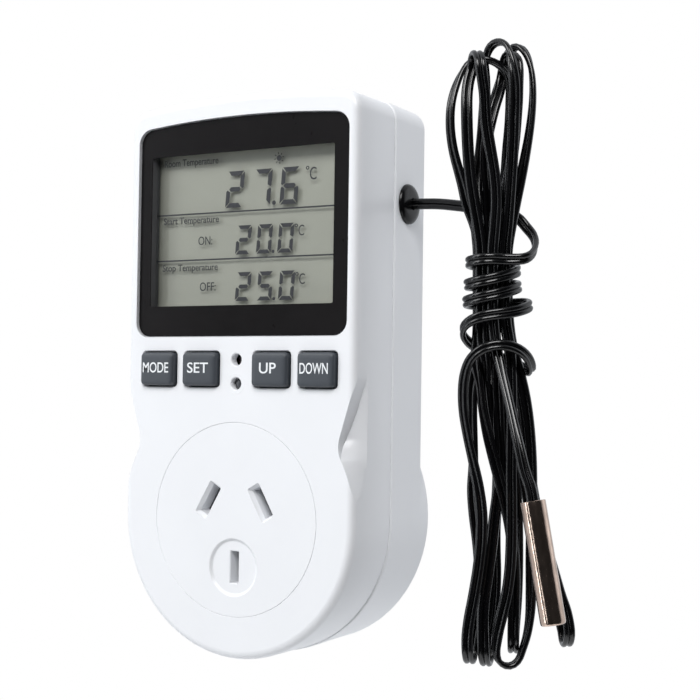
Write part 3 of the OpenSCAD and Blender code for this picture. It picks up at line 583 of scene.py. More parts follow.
def flat_slot(cx, cz, lean, w, h, y0, y1, flare=0.0, flare_d=0.0, front_y=None):
    """A slot cutter w by h leaning in the X-Z plane, with a funnel at its front where flare is given."""
    c, s = math.cos(math.radians(lean)), math.sin(math.radians(lean))

    def turn(pts):
        return [(cx + x * c + z * s, cz - x * s + z * c) for x, z in pts]
    if not flare:
        return loft("slot", [ring_y(turn(rounded(w, h, 0.12, n=2)), y) for y in (y0, y1)])
    big = rounded(w + 2 * flare, h + 2 * flare, 0.12 + flare * 0.5, n=2)
    return loft("slot", [ring_y(turn(big), y0), ring_y(turn(big), front_y),
                         ring_y(turn(rounded(w, h, 0.12, n=2)), front_y + flare_d),
                         ring_y(turn(rounded(w, h, 0.12, n=2)), y1)])


PINS = ((-6.84, 3.95, 30.0), (6.84, 3.95, -30.0), (0.0, -10.3, 0.0))
cut = [flat_slot(x, z, lean, 1.7, 6.45, -3, 1) for x, z, lean in PINS]
for s in (-1, 1):
    cut.append(loft("c", [ring_y(circle2(s * 24.5, 85.3, 3.0, 40), y) for y in (-7, -2)]))
    cut.append(loft("c", [ring_y(circle2(s * 21, -14, 3.0, 40), y) for y in (-4.1, 1)]))
cut.append(loft("g", [[(x, -12.7 + 3.3 * math.cos(a), 69.1 + 3.3 * math.sin(a)) for a in
                       np.linspace(0, 2 * math.pi, 40, endpoint=False)] for x in (27, 31)]))
boolean(rear, cut)
finish_solid(rear, "case_white")
inside = [loft("t", [ring_y(case_outline(i), F(d)) for i, d in
                     ((2.15, 13.1), (2.15, 15.85), (1.9, 15.85), (1.9, 16.7), (3.2, 16.7), (3.2, 13.1))],
               "case_white", closed=True)]
for s in (-1, 1):
    inside.append(tube("boss", s * SCREW_TOP[0], SCREW_TOP[1], -15, -5.9, 2.9, 1.6, "case_white"))
    inside.append(tube("boss", s * SCREW_TOP[0], SCREW_TOP[1], -8.5, -5.9, 4.2, 1.6, "case_white"))
    inside.append(tube("boss", s * SCREW_LOW[0], SCREW_LOW[1], -15, -1.9, 2.9, 1.6, "case_white"))
    inside.append(tube("boss", s * SCREW_LOW[0], SCREW_LOW[1], -5.6, -1.9, 4.2, 1.6, "case_white"))
for x, z in ((-21, 39), (21, 39), (-21, 77), (21, 77)):
    inside.append(tube("peg", x, z, -7.6, -5.9, 2.4, 1.0, "case_white"))
for x, z in ((0, 13.5), (12.5, -8.5), (-12.5, -8.5)):
    inside.append(tube("post", x, z, -12.35, -1.9, 1.6, 0.4, "case_white"))
rear_inside = join("rear_case_inside", inside)
rear_inside.data.set_sharp_from_angle(angle=math.radians(40))
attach(rear, "case")
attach(rear_inside, "case")
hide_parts("rear_shell")
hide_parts("rear_shell")

# ---------------------------------------------------------------- display
def sheet_box(name, rings, mat):
    """A clear plate as its front face and its edge; its back lies on the part behind it."""
    n, k = len(rings[0]), len(rings)
    faces = [tuple(range(n))]
    for i in range(k - 1):
        a, b = i * n, (i + 1) * n
        for j in range(n):
            j2 = (j + 1) % n
            faces.append((a + j, a + j2, b + j2, b + j))
    return make(name, [p for r in rings for p in r], faces, mat, sharp=25)


# the opening for the display lies a little left of the case's middle, as the picture shows it
LCD_X, INK_X = -0.4, -0.3
pane_out = arch_shape(27.6, 39.6, 87.6, 3.5, TOP_R, bottom_r=3.1)
pane = sheet_box("display_pane", [ring_y(inset(pane_out, 0.1), F(0.0)), ring_y(pane_out, F(0.1)), ring_y(pane_out, F(0.79))], "window_clear")
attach(pane, "case")
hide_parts("display_window")
mask = loft("display_mask", [ring_y(arch_shape(27.55, 39.65, 87.55, 3.45, TOP_R, bottom_r=3.05), F(d)) for d in (0.79, 1.0)])
boolean(mask, [loft("o", [ring_y(rounded(48.2, 33.6, 0.4, LCD_X, 63.2), F(d)) for d in (0.5, 1.3)])])
finish_solid(mask, "window_black")
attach(mask, "case")
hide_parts("window_mask")
cell_out = rounded(52, 37, 0.5, 0, 62.9)
cell = loft("display_cell", [ring_y(inset(cell_out, 0.2), F(3.5)), ring_y(cell_out, F(3.7)),
                             ring_y(cell_out, F(5.6))], "display_grey")
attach(cell, "case")
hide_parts("lcd_panel")
cover = sheet_box("display_glass", [ring_y(inset(cell_out, 0.1), F(2.8)), ring_y(cell_out, F(2.9)), ring_y(cell_out, F(3.48))], "window_clear")
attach(cover, "case")
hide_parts("lcd_panel")

INK_D = 2.74
SEGMENTS = {"0": "abcdef", "1": "bc", "2": "abged", "3": "abgcd", "4": "fgbc", "5": "afgcd", "6": "afgedc",
            "7": "abc", "8": "abcdefg", "9": "abcdfg"}


def ink(name, polys, mat="lcd_ink"):
    """Thin flat shapes on the display, each a closed outline in x and z."""
    verts, faces = [], []
    for p in polys:
        n, o = len(p), len(verts)
        verts += [(x + INK_X, F(INK_D), z) for x, z in p] + [(x + INK_X, F(INK_D + 0.05), z) for x, z in p]
        faces.append(tuple(o + k for k in range(n)))
        faces.append(tuple(o + n + k for k in range(n - 1, -1, -1)))
        for k in range(n):
            faces.append((o + k, o + n + k, o + n + (k + 1) % n, o + (k + 1) % n))
    ob = make(name, verts, faces, mat, smooth=False)
    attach(ob, "case")
    return ob


def digit(ch, x0, z0, w, h, t, shear=0.085):
    """Outlines of one seven segment digit: x0 and z0 are its lower left corner."""
    g = 0.22  # gap at the mitres
    c = t / 2
    zm = h / 2
    seg = {
        "a": [(g, h), (w - g, h), (w - t - g * 0.4, h - t), (t + g * 0.4, h - t)],
        "d": [(t + g * 0.4, t), (w - t - g * 0.4, t), (w - g, 0), (g, 0)],
        "f": [(0, h - g), (t, h - t - g), (t, zm + c + g * 0.5), (c * 0.6, zm + g * 0.8), (0, zm + g + 0.2)],
        "b": [(w, h - g), (w, zm + g + 0.2), (w - c * 0.6, zm + g * 0.8), (w - t, zm + c + g * 0.5), (w - t, h - t - g)],
        "e": [(0, zm - g - 0.2), (c * 0.6, zm - g * 0.8), (t, zm - c - g * 0.5), (t, t + g), (0, g)],
        "c": [(w, zm - g - 0.2), (w, g), (w - t, t + g), (w - t, zm - c - g * 0.5), (w - c * 0.6, zm - g * 0.8)],
        "g": [(c + g, zm), (t + g * 0.6, zm + c), (w - t - g * 0.6, zm + c), (w - c - g, zm),
              (w - t - g * 0.6, zm - c), (t + g * 0.6, zm - c)],
    }
    return [[(x0 + x + z * shear, z0 + z) for x, z in seg[s]] for s in SEGMENTS[ch]]


def dot(x, z, r, n=12):
    return [(x + r * math.cos(2 * math.pi * k / n), z + r * math.sin(2 * math.pi * k / n)) for k in range(n)]


polys = digit("2", -5.3, 68.0, 4.5, 8.0, 1.0) + digit("7", 2.0, 68.0, 4.5, 8.0, 1.0) + digit("6", 9.0, 68.0, 4.5, 8.0, 1.0)
polys.append(dot(7.6, 68.5, 0.5))
polys += digit("2", -2.4, 57.6, 3.85, 6.35, 0.86) + digit("0", 3.1, 57.6, 3.85, 6.35, 0.86) + digit("0", 8.6, 57.6, 3.85, 6.35, 0.86)
polys.append(dot(7.55, 57.95, 0.38))
polys += digit("2", -2.3, 47.4, 3.85, 6.3, 0.86) + digit("5", 3.4, 47.4, 3.85, 6.3, 0.86) + digit("0", 9.0, 47.4, 3.85, 6.3, 0.86)
polys.append(dot(7.95, 47.75, 0.38))
ink("display_digits", polys)

# the plain sun sign: a disc with eight short rays
sun = [dot(8.77, 78.1, 0.62, 20)]
for k in range(8):
    a = math.radians(45 * k + 10)
    ca, sa = math.cos(a), math.sin(a)
    sun.append([(8.77 + r * ca - q * sa, 78.1 + r * sa + q * ca) for r, q in ((0.85, -0.1), (1.3, -0.08), (1.3, 0.08), (0.85, 0.1))])
ink("display_sun", sun)
for z, nm in ((67.1, "upper"), (56.75, "lower")):
    ink("display_line_" + nm, [[(-24.7, z - 0.17), (24.8, z - 0.17), (24.8, z + 0.17), (-24.7, z + 0.17)]])
# painted shade: a thin dark strip on the left wall of the display opening, standing in for the shade there
shade_strip = loft("display_painted_shade_strip", [ring_y(rounded(0.58, 34.8, 0.05, -24.79, 63.2, n=2), F(d)) for d in (1.02, 1.9, 2.78)], "shade_grey")


def lettering(name, text, x0, x1, z0, z1, y, mat, body, lean=0.0, thick=0.03, weight=0.0):
    """Raised flat lettering that fills the box x0..x1, z0..z1 on the plane y (mm), facing the front."""
    cu = bpy.data.curves.new(name, "FONT")
    cu.body = text
    cu.size = 1.0
    cu.shear = lean
    cu.offset = weight
    cu.extrude = 0.001
    tmp = bpy.data.objects.new(name + "_t", cu)
    bpy.context.scene.collection.objects.link(tmp)
    dg = bpy.context.evaluated_depsgraph_get()
    dg.update()
    me = bpy.data.meshes.new_from_object(tmp.evaluated_get(dg), depsgraph=dg)
    bpy.data.objects.remove(tmp)
    bpy.data.curves.remove(cu)
    me.name = name
    co = np.empty(len(me.vertices) * 3)
    me.vertices.foreach_get("co", co)
    co = co.reshape(-1, 3)
    lo, hi = co.min(0), co.max(0)
    out = np.empty_like(co)
    out[:, 0] = (x0 + (co[:, 0] - lo[0]) / (hi[0] - lo[0]) * (x1 - x0)) * MM
    out[:, 2] = (z0 + (co[:, 1] - lo[1]) / (hi[1] - lo[1]) * (z1 - z0)) * MM
    out[:, 1] = np.where(co[:, 2] > 0, y - thick, y + 0.02) * MM
    me.vertices.foreach_set("co", out.ravel())
    me.materials.clear()
    me.materials.append(M[mat])
    ob = bpy.data.objects.new(name, me)
    bpy.context.scene.collection.objects.link(ob)
    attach(ob, body)
    return ob


INK_Y = F(INK_D)
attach(shade_strip, "case")
# painted shadow: a faint dark strip along the display's left edge, for the shadow of the mask's left edge
ink("display_painted_shadow", [[(-25.0, 45.6), (-23.6, 45.6), (-23.6, 80.8), (-25.0, 80.8)]], "lcd_faint")
lettering("display_legend_1", "Room Temperature", -22.5, -7.6, 77.5, 79.6, INK_Y, "lcd_faint", "case", thick=0.02, weight=0.014)
lettering("display_legend_2", "Start Temperature", -22.5, -7.2, 64.5, 66.5, INK_Y, "lcd_faint", "case", thick=0.02, weight=0.014)
lettering("display_legend_3", "Stop Temperature", -22.6, -7.3, 53.9, 55.9, INK_Y, "lcd_faint", "case", thick=0.02, weight=0.014)
lettering("display_on", "ON:", -12.7, -8.9, 60.05, 61.95, INK_Y, "lcd_ink", "case", thick=0.02)
lettering("display_off", "OFF:", -12.1, -7.8, 49.8, 51.7, INK_Y, "lcd_ink", "case", thick=0.02)
for i, (x, z, h) in enumerate(((16.7, 72.9, 2.7), (14.05, 61.1, 2.3), (14.4, 50.7, 2.3))):
    lettering("display_unit_%d" % (i + 1), "C", x + INK_X, x + INK_X + h * 0.62, z, z + h, INK_Y, "lcd_ink", "case", thick=0.02)
    ringp = dot(x - 0.62, z + h - 0.1, 0.42, 16)
    innr = dot(x - 0.62, z + h - 0.1, 0.2, 16)
    ink("display_degree_%d" % (i + 1), [[ringp[k], ringp[(k + 1) % 16], innr[(k + 1) % 16], innr[k]] for k in range(16)])

# ---------------------------------------------------------------- keys
KEYS = (("mode", -20.8, "MODE", (-24.45, -17.35)), ("set", -9.2, "SET", (-12.1, -6.5)),
        ("up", 9.2, "UP", (6.95, 11.2)), ("down", 20.8, "DOWN", (17.15, 24.1)))
for nm, x, word, (tx0, tx1) in KEYS:
    rings = []
    for i, d in ((4.2, -1.4), (3.0, -1.40), (1.4, -1.39), (0.62, -1.36), (0.3, -1.24), (0.12, -1.05), (0.02, -0.8),
                 (0.0, -0.5), (0.0, 2.4)):
        rr = max(0.9 - i * 0.3, 0.25)
        if i > 3:
            rings.append(ring_y(rounded(9 - 2 * 3.4, 7.3 - 2 * 3.4, 0.2, x, KEY_Z), F(d)))
        else:
            rings.append(ring_y(rounded(9 - 2 * i, 7.3 - 2 * i, rr, x, KEY_Z), F(d)))
    rings += [ring_y(rounded(10.2, 8.5, 0.6, x, KEY_Z), F(2.4)), ring_y(rounded(10.2, 8.5, 0.6, x, KEY_Z), F(3.45)),
              ring_y(rounded(8.0, 6.2, 0.4, x, KEY_Z), F(3.5)), ring_y(rounded(8.0, 6.2, 0.4, x, KEY_Z), F(7.8))]
    key = loft("key_" + nm, rings, "key_rubber", sharp=50)
    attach(key, nm + "_key")
    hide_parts(nm + "_key")
    lettering("key_" + nm + "_word", word, tx0, tx1, 31.55, 33.85, F(-1.4), "key_white", nm + "_key",
              thick=0.03, weight=0.008)

# ---------------------------------------------------------------- socket insert
insert = loft("socket_face", [ring_y(circle2(0, 0, 20.80, 144), F(0.0)), ring_y(circle2(0, 0, 20.87, 144), F(0.03)),
                              ring_y(circle2(0, 0, 20.90, 144), F(0.1)), ring_y(circle2(0, 0, 20.90, 144), F(2.1)),
                              ring_y(circle2(0, 0, 22.3, 144), F(2.1)), ring_y(circle2(0, 0, 22.3, 144), F(4.0))])
cut = [flat_slot(x, z, lean, 2.1, 6.9, F(-1), F(5), flare=0.62, flare_d=1.0, front_y=F(0.0)) for x, z, lean in PINS[:2]]
dish = [(6.35, -0.5), (6.35, 0.0)] + [(6.35 - 0.75 * k / 8, 0.27 - 0.27 * math.cos(math.pi * k / 8)) for k in range(1, 9)]
cut.append(loft("r", [ring_y(circle2(0, -10.3, r, 72), F(d)) for r, d in dish]))
cut.append(flat_slot(0, -10.3, 0, 2.1, 6.9, F(-1), F(5), flare=0.18, flare_d=0.2, front_y=F(0.54)))
boolean(insert, cut)
finish_solid(insert, "socket_white")
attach(insert, "case")
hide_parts("socket_insert")

# ---------------------------------------------------------------- gland, probe
gy, gz = -12.7, 69.1
prof = [(-3.2, 0.0), (-3.2, 4.2), (-2.02, 4.2), (-2.02, 3.25), (0.02, 3.25), (0.02, 4.25), (0.08, 4.4),
        (0.42, 4.4), (0.75, 4.28), (1.02, 4.02), (1.25, 3.6), (1.42, 3.0), (1.5, 2.2), (1.52, 0.0)]


def lathe_x(name, profile, cx, cy, cz, mat, n=64, sharp=35):
    rings = []
    for h, r in profile:
        r = max(r, 0.02)
        rings.append([(cx + h, cy + r * math.cos(2 * math.pi * k / n), cz + r * math.sin(2 * math.pi * k / n)) for k in range(n)])
    return loft(name, rings, mat, sharp=sharp)


gland = lathe_x("gland", prof, 30.0, gy, gz, None)
slot_rings = []
for x, g in ((26, 0), (31.2, 0), (31.55, 0.25), (32, 0.7)):
    slot_rings.append([(x, gy + p[0], gz + p[1]) for p in rounded(1.3 + g, 2.5 + g, 0.6 + g * 0.4, n=5)])
boolean(gland, [loft("s", slot_rings)])
finish_solid(gland, "gland_black", sharp=40)
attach(gland, "case")
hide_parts("cord_gland")

LEAN = math.radians(11)
PROBE_TOP = np.array([67.7, -29.7, 7.3])
PROBE_LEN = 24.0
AX = np.array([math.sin(LEAN), 0, -math.cos(LEAN)])
SX = np.array([math.cos(LEAN), 0, math.sin(LEAN)])
SY = np.array([0, 1.0, 0])
prof = [(0.9, 0.0), (0.9, 2.12), (0.12, 2.12), (0.02, 2.2), (0.0, 2.36), (0.08, 2.47), (0.25, 2.5)]
for k in range(1, 20):
    prof.append((0.25 + 23.0 * k / 20, 2.5))
prof += [(PROBE_LEN - h, r) for h, r in ((0.8, 2.5), (0.4, 2.46), (0.15, 2.34), (0.03, 2.1), (0.0, 1.7), (0.0, 0.0))]
rings = []
for h, r in prof:
    r = max(r, 0.02)
    c = PROBE_TOP + AX * h
    rings.append([tuple(c + r * (math.cos(a) * SX + math.sin(a) * SY)) for a in np.linspace(0, 2 * math.pi, 64, endpoint=False)])
probe = loft("probe_sheath", rings, "probe_metal", sharp=40)
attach(probe, "case")
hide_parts("probe_tube")

# ---------------------------------------------------------------- sensor cord
# Waypoints: a point and the direction that the flat cord's width lies in there.
UP = np.array([0, 0, 1.0])
route = []


def row(x, y, z, w=UP):
    route.append((np.array([x, y, z], float), np.array(w, float)))


def see(u, v, b, roll=None, w=None):
    """roll 0 shows the cord's flat side to the camera, 90 its edge"""
    if w is None:
        r = math.radians(roll if roll is not None else 0)
        w = math.cos(r) * ACROSS + math.sin(r) * AWAY
    route.append((at(u, v, b), np.array(w, float)))


for p in ((29.2, -12.7, 69.1), (31.5, -12.7, 69.1), (34, -12.8, 69.0), (38, -13.4, 68.7), (42, -14.4, 68.1), (46, -15.4, 67.4),
          (50, -15.9, 66.6), (54, -15.7, 65.6), (57.5, -15.6, 64.6)):
    row(*p)
see(526.5, 227.8, 3.6, w=UP)
see(533, 235.5, 2.2, w=UP)
see(535.6, 244.5, 0.2, w=UP)
see(533, 253.2, -2.0, w=UP)
see(525, 258.6, -4.0, w=UP)


def turn(points, cu=492.4, deep=4.2):
    """Points of a turn round the hank, seen from above: angle (0 right, 90 front), v and radius in mm."""
    for a, v, r in points:
        t = math.radians(a)
        see(cu + 4.86 * r * math.cos(t), v, -deep * math.sin(t), w=UP)


# first turn: from the loop at the right, across the front, round the left end and back
turn(((62, 259.3, 5.15), (90, 258.6, 5.1), (118, 259.2, 5.1), (145, 260.6, 5.1), (172, 262.2, 5.1), (200, 263.8, 5.1),
      (230, 265.2, 5.1), (260, 266.4, 5.1), (290, 267.3, 5.15), (320, 268.2, 5.25), (345, 269.2, 5.35)))
# second turn
turn(((10, 271.2, 5.4), (38, 273.2, 5.4), (65, 276.0, 5.4), (90, 278.6, 5.4), (115, 281.0, 5.4), (142, 283.0, 5.4),
      (170, 284.6, 5.4), (198, 285.4, 5.4), (228, 285.6, 5.4), (260, 285.4, 5.4), (290, 285.2, 5.4), (320, 285.2, 5.4),
      (345, 285.8, 5.5)), deep=4.3)
# third turn
turn(((10, 287.0, 5.5), (38, 289.2, 5.5), (65, 292.2, 5.5), (90, 294.7, 5.5), (115, 297.2, 5.6), (142, 299.6, 5.7),
      (170, 301.6, 5.8), (198, 303.2, 5.8), (228, 304.3, 5.7), (260, 304.8, 5.7), (290, 304.6, 6.0), (320, 303.9, 6.6),
      (345, 303.6, 7.0)), cu=493.0, deep=4.4)
# fourth turn, looser, down into the loop at the left
for u, v, b in ((530.6, 305.3, -0.9), (526, 308.4, -2.8), (516, 311.2, -4.3), (504, 313.1, -4.9), (492, 314.6, -5.0), (480.5, 316.8, -4.7),
                (470.5, 320.6, -3.8), (463.6, 326.4, -2.4), (462.6, 333.2, -0.6), (466.5, 340.0, 1.4), (474.5, 346.2, 3.3),
                (485.0, 351.5, 4.6), (497, 356.6, 5.2), (510, 362.0, 4.9), (521.5, 367.3, 3.6), (528.5, 371.0, 1.8), (531.4, 371.2, 0.0)):
    see(u, v, b, w=UP)
# the arch across the front, down into the first long run
for u, v, b, w in ((531.2, 365.4, -1.6, UP * 0.9 + ACROSS * 0.2), (527.6, 357.0, -3.2, UP * 0.8 + ACROSS * 0.4), (519.6, 349.8, -4.6, UP * 0.92 + ACROSS * 0.25),
                   (509.5, 345.9, -5.3, UP), (498.5, 344.8, -5.5, UP), (487.5, 346.8, -5.4, UP * 0.92 - ACROSS * 0.25),
                   (477.5, 351.8, -4.9, UP * 0.75 - ACROSS * 0.6), (469.3, 360.6, -4.2, UP * 0.45 - ACROSS * 0.8 + AWAY * 0.3)):
    see(u, v, b, w=w)


def run(points):
    """Points of a long run: u, v, b and how far the flat side is turned from the camera."""
    for p in points:
        see(p[0], p[1], p[2], roll=180 + (p[3] if len(p) > 3 else 0))


def bend(u1, b1, u2, b2, v_tip, lift=1.0):
    """Half a turn from (u1, b1) to (u2, b2) with its tip at v_tip: a fold below, or above with lift -1."""
    du, db = (u2 - u1) / 4.86, b2 - b1
    r = math.hypot(du, db) / 2
    face = math.degrees(math.atan2(du, -db))
    face = face - 180 if face > 90 else (face + 180 if face < -90 else face)
    v0 = v_tip - lift * r * 4.86
    for a in (8, 35, 62, 90, 118, 145, 172):
        c = math.cos(math.radians(a))
        see((u1 + u2) / 2 - (u2 - u1) / 2 * c, v0 + lift * r * 4.86 * math.sin(math.radians(a)), (b1 + b2) / 2 - db / 2 * c, roll=180 + face)


# F1: the leftmost fold at the bottom; down in front and up behind
run([(464.3, 375.0, -3.4, -50), (462.6, 392, -2.6, -52), (463.4, 412, -2.2, -55), (467.6, 437, -2.1, -55), (473.4, 463, -2.1, -55), (478.6, 488, -2.2, -25),
     (481.6, 513, -2.3, -10), (481.4, 540, -2.3, -5), (478.4, 568, -2.3, 0), (473.8, 596, -2.4, 0), (469.2, 620, -2.6, 0), (467.2, 637, -2.7, 0)])
bend(467.2, -2.7, 472.4, 3.1, 661.5)
run([(474.2, 636, 2.9, 0), (476.8, 616, 2.5, 0), (479.2, 592, 2.1, 0), (479.6, 566, 2.0, 0), (477.6, 540, 1.9, 0), (474.2, 514, 1.8, -10),
     (472.4, 490, 1.6, -30), (473.4, 465, 1.3, -55), (473.0, 438, 1.0, -55), (472.2, 413, 0.8, -50), (472.8, 389, 0.8, -30), (476.2, 367, 1.1, -10),
     (481.0, 345, 1.3, 0), (482.0, 322, 1.3, 0), (482.0, 297, 1.3, 0), (482.0, 272, 1.3, 0), (481.0, 250, 1.3, 0)])
# T1: the leftmost strand above, over the left group and down in the right band
run([(475.4, 226, 1.2, -10), (467.6, 201, 0.8, -25), (459.6, 174, 0.4, -45), (453.0, 149, 0.1, -55), (450.2, 126, 0.0, -55), (451.2, 104, 0.4, -60),
     (456.2, 85, 1.4, -65), (463.4, 70.5, 2.4, -65), (472.0, 62.0, 2.8, -60), (482.0, 59.2, 2.4, -55), (492.0, 61.0, 2.4, -55), (501.2, 67.0, 3.0, -60),
     (507.0, 76.0, 2.7, -60), (510.2, 89, 2.4, -45), (510.8, 106, 2.2, -20), (510.0, 126, 2.0, -5), (507.9, 149, 1.8, 0), (505.9, 178, 1.6, 0),
     (504.2, 212, 1.4, 0), (503.0, 250, 1.3, 0), (503.0, 272, 1.3, 0), (503.0, 297, 1.3, 0), (505.0, 322, 1.3, 0), (509.4, 345, 1.3, 0)])
# F5: behind the probe, folded below it
run([(516.4, 371, 1.6, 0), (522.2, 400, 1.8, 0), (525.8, 430, 1.9, 0), (528.8, 460, 1.9, 0), (532.0, 487, 1.9, 0), (537.4, 514, 1.9, 0), (545.0, 543, 1.8, 0),
     (553.0, 570, 1.6, 0), (560.6, 596, 1.3, 0), (566.2, 612, 1.0, 0)])
bend(569.8, 0.7, 563.4, 6.45, 644.6)
run([(559.6, 618, 6.3, 0), (553.4, 599, 5.6, 0), (545.8, 573, 5.1, 0), (538.0, 545, 4.6, 0), (531.0, 516, 4.2, 0), (526.0, 487, 3.9, 0), (521.6, 458, 3.6, 0),
     (515.8, 428, 3.4, 0), (508.4, 397, 3.1, 0), (501.0, 369, 2.8, 0), (495.0, 345, 2.6, 0), (493.0, 322, 2.6, 0), (493.0, 297, 2.6, 0),
     (493.0, 272, 2.6, 0), (492.5, 250, 2.6, 0)])
# T5: up the middle, over the top right and down as the rightmost strand
run([(488.0, 226, 2.8, 0), (482.4, 200, 2.9, 0), (480.2, 178, 3.0, 0), (481.4, 157, 3.0, 0), (484.8, 138, 3.1, 0), (489.0, 122, 3.3, 0),
     (493.2, 106, 3.8, -10), (498.0, 90, 5.0, -25), (502.6, 76, 6.0, -45), (505.6, 66, 6.4, -70), (507.0, 59.4, 6.3, -78), (509.2, 53.2, 5.9, -82), (512.4, 48.4, 5.2, -85), (516.8, 46.1, 4.3, -88),
     (521.4, 47.8, 3.4, -90), (525.4, 52.6, 2.6, -90), (528.8, 60.0, 2.0, -90), (531.4, 70.5, 1.5, -90), (532.7, 84, 1.0, -88), (532.7, 99, 0.6, -82), (531.4, 116, 0.3, -72), (529.2, 133, 0.1, -62),
     (525.0, 157, 0.0, -50), (520.2, 181, 0.0, -35), (515.0, 205, 0.0, -15), (510.2, 229, 0.0, -5), (507.0, 250, 0.0, 0), (507.0, 272, 0.0, 0),
     (507.0, 297, 0.0, 0), (508.4, 322, 0.0, 0), (511.6, 345, 0.0, 0)])
# F3: the big loop at the bottom, right side down and left side up in front
run([(518.8, 371, 0.0, -10), (525.2, 398, 0.0, -25), (529.4, 428, 0.0, -40), (531.6, 460, 0.0, -45), (532.0, 494, 0.0, -40), (531.4, 528, 0.0, -35),
     (531.0, 560, 0.0, -30), (531.0, 588, -0.1, -35), (530.0, 615, -0.3, -55), (526.8, 636, -0.6, -75), (522.4, 650.0, -0.8, -86), (519.4, 659.0, -1.0, -88), (514.4, 664.6, -1.1, -90), (508.2, 666.6, -1.2, -90),
     (502.0, 664.8, -1.3, -88), (497.6, 660.0, -1.5, -82), (496.0, 652.0, -1.6, -65), (496.6, 641.0, -1.8, -40), (499.0, 627.0, -2.0, -15), (503.0, 611, -2.1, 0),
     (507.0, 593, -2.2, 0), (509.8, 573, -2.2, 0), (511.2, 550, -2.2, 0), (511.6, 525, -2.2, 0), (511.4, 498, -2.2, 0), (511.2, 470, -2.1, 0),
     (511.6, 440, -2.0, 0), (511.6, 410, -1.9, 0), (511.2, 378, -1.7, 0), (509.4, 345, -1.4, 0)])
# T3: up the front of the right band, over the arch and down in the middle group
run([(505.4, 322, -1.3, 0), (503.4, 297, -1.3, 0), (503.4, 272, -1.3, 0), (503.6, 250, -1.3, 0), (505.6, 230, -1.3, 0), (508.8, 202, -1.4, 0),
     (511.6, 170, -1.4, 0), (513.2, 140, -1.5, 0), (514.2, 113, -1.6, -5), (514.8, 90, -1.6, -15), (514.4, 71, -1.3, -40), (512.2, 57.2, -0.6, -62),
     (508.0, 46.6, 0.5, -62), (501.6, 42.0, 1.7, -50), (494.8, 42.8, 3.0, -50),
     (489.2, 48.4, 4.0, -58), (486.2, 57, 4.6, -60), (485.4, 68, 4.7, -55), (485.2, 83, 4.2, -40), (484.8, 102, 3.2, -20), (483.4, 125, 2.2, 0), (481.0, 150, 1.75, 0),
     (478.5, 175, 1.0, 0), (476.4, 200, 0.6, 0), (476.2, 225, 0.3, 0),
     (478.4, 250, 0.0, 0), (478.4, 272, 0.0, 0), (478.4, 297, 0.0, 0), (478.4, 322, 0.0, 0), (477.8, 345, 0.0, 0)])
# F4: across behind the big loop's front side, into the fold that hangs inside the loop
run([(478.6, 372, -0.2, -55), (481.0, 399, -0.6, -80), (485.6, 425, -0.9, -50), (491.6, 450, -1.0, -15), (498.0, 474, -1.0, 0), (504.6, 500, -0.9, 0),
     (510.0, 526, -0.8, 0), (513.2, 552, -0.7, 0), (514.4, 580, -0.7, 0), (514.0, 605, -0.7, 0), (513.4, 624, -0.8, 0)])
bend(513.2, -0.9, 513.6, 5.0, 651.0)
run([(514.6, 623, 4.7, 0), (516.4, 600, 3.8, 0), (517.4, 572, 3.2, 0), (517.6, 545, 2.6, 0), (517.0, 515, 2.2, 0), (515.0, 486, 1.9, 0),
     (510.2, 457, 1.7, 0), (505.6, 427, 1.5, 0), (501.4, 397, 1.4, 0), (497.4, 370, 1.3, 0), (493.6, 345, 1.3, 0), (491.6, 322, 1.3, 0), (491.0, 297, 1.3, 0),
     (491.0, 272, 1.3, 0), (491.0, 250, 1.3, 0)])
# T4: up the middle and over into the right band
run([(489.6, 226, 1.1, 0), (486.8, 201, 0.9, 0), (485.0, 177, 0.6, 0), (485.4, 155, 0.4, 0), (487.6, 136, 0.4, 0), (491.0, 120, 0.8, 0), (495.0, 105, 1.7, -5),
     (498.8, 94, 2.6, -15), (502.0, 82, 3.6, -30)])
bend(504.2, 4.6, 516.2, -1.0, 52.6, -1)
run([(517.2, 84, -0.8, -30), (517.3, 100, -0.5, -25), (516.2, 116, -0.4, -15), (514.6, 136, -0.3, -5), (511.8, 160, -0.2, 0), (507.6, 186, -0.5, 0), (501.2, 215, -0.9, 0),
     (495.4, 240, -1.2, 0), (494.0, 255, -1.3, 0), (494.0, 272, -1.3, 0), (494.0, 297, -1.3, 0), (494.4, 322, -1.3, 0), (495.6, 345, -1.3, 0)])
# F2: the second fold at the lower left
run([(496.6, 370, -0.8, 0), (497.4, 398, -0.2, 0), (498.6, 425, 0.2, 0), (500.6, 450, 0.3, 0), (500.6, 474, 0.4, 0), (497.4, 497, 0.3, 0),
     (494.2, 520, 0.0, 0), (491.6, 545, -0.3, 0), (488.0, 572, -0.6, 0), (484.8, 594, -0.8, 0), (483.0, 613, -0.8, 0), (482.8, 632, -0.9, 0)])
bend(483.4, -1.0, 489.0, 4.8, 664.0)
run([(490.2, 634, 4.5, 0), (492.6, 618, 4.0, 0), (494.8, 597, 3.7, 0), (495.6, 572, 3.4, 0), (495.0, 546, 3.2, 0), (495.2, 520, 3.0, 0), (497.2, 497, 2.9, 0),
     (498.0, 473, 2.7, 0), (495.6, 449, 2.2, -15), (491.6, 424, 1.5, -45), (488.2, 398, 0.6, -75), (485.0, 370, -0.5, -55), (482.2, 345, -1.2, -10),
     (481.4, 322, -1.3, 0), (481.4, 297, -1.3, 0), (481.4, 272, -1.3, 0), (481.4, 250, -1.3, 0)])
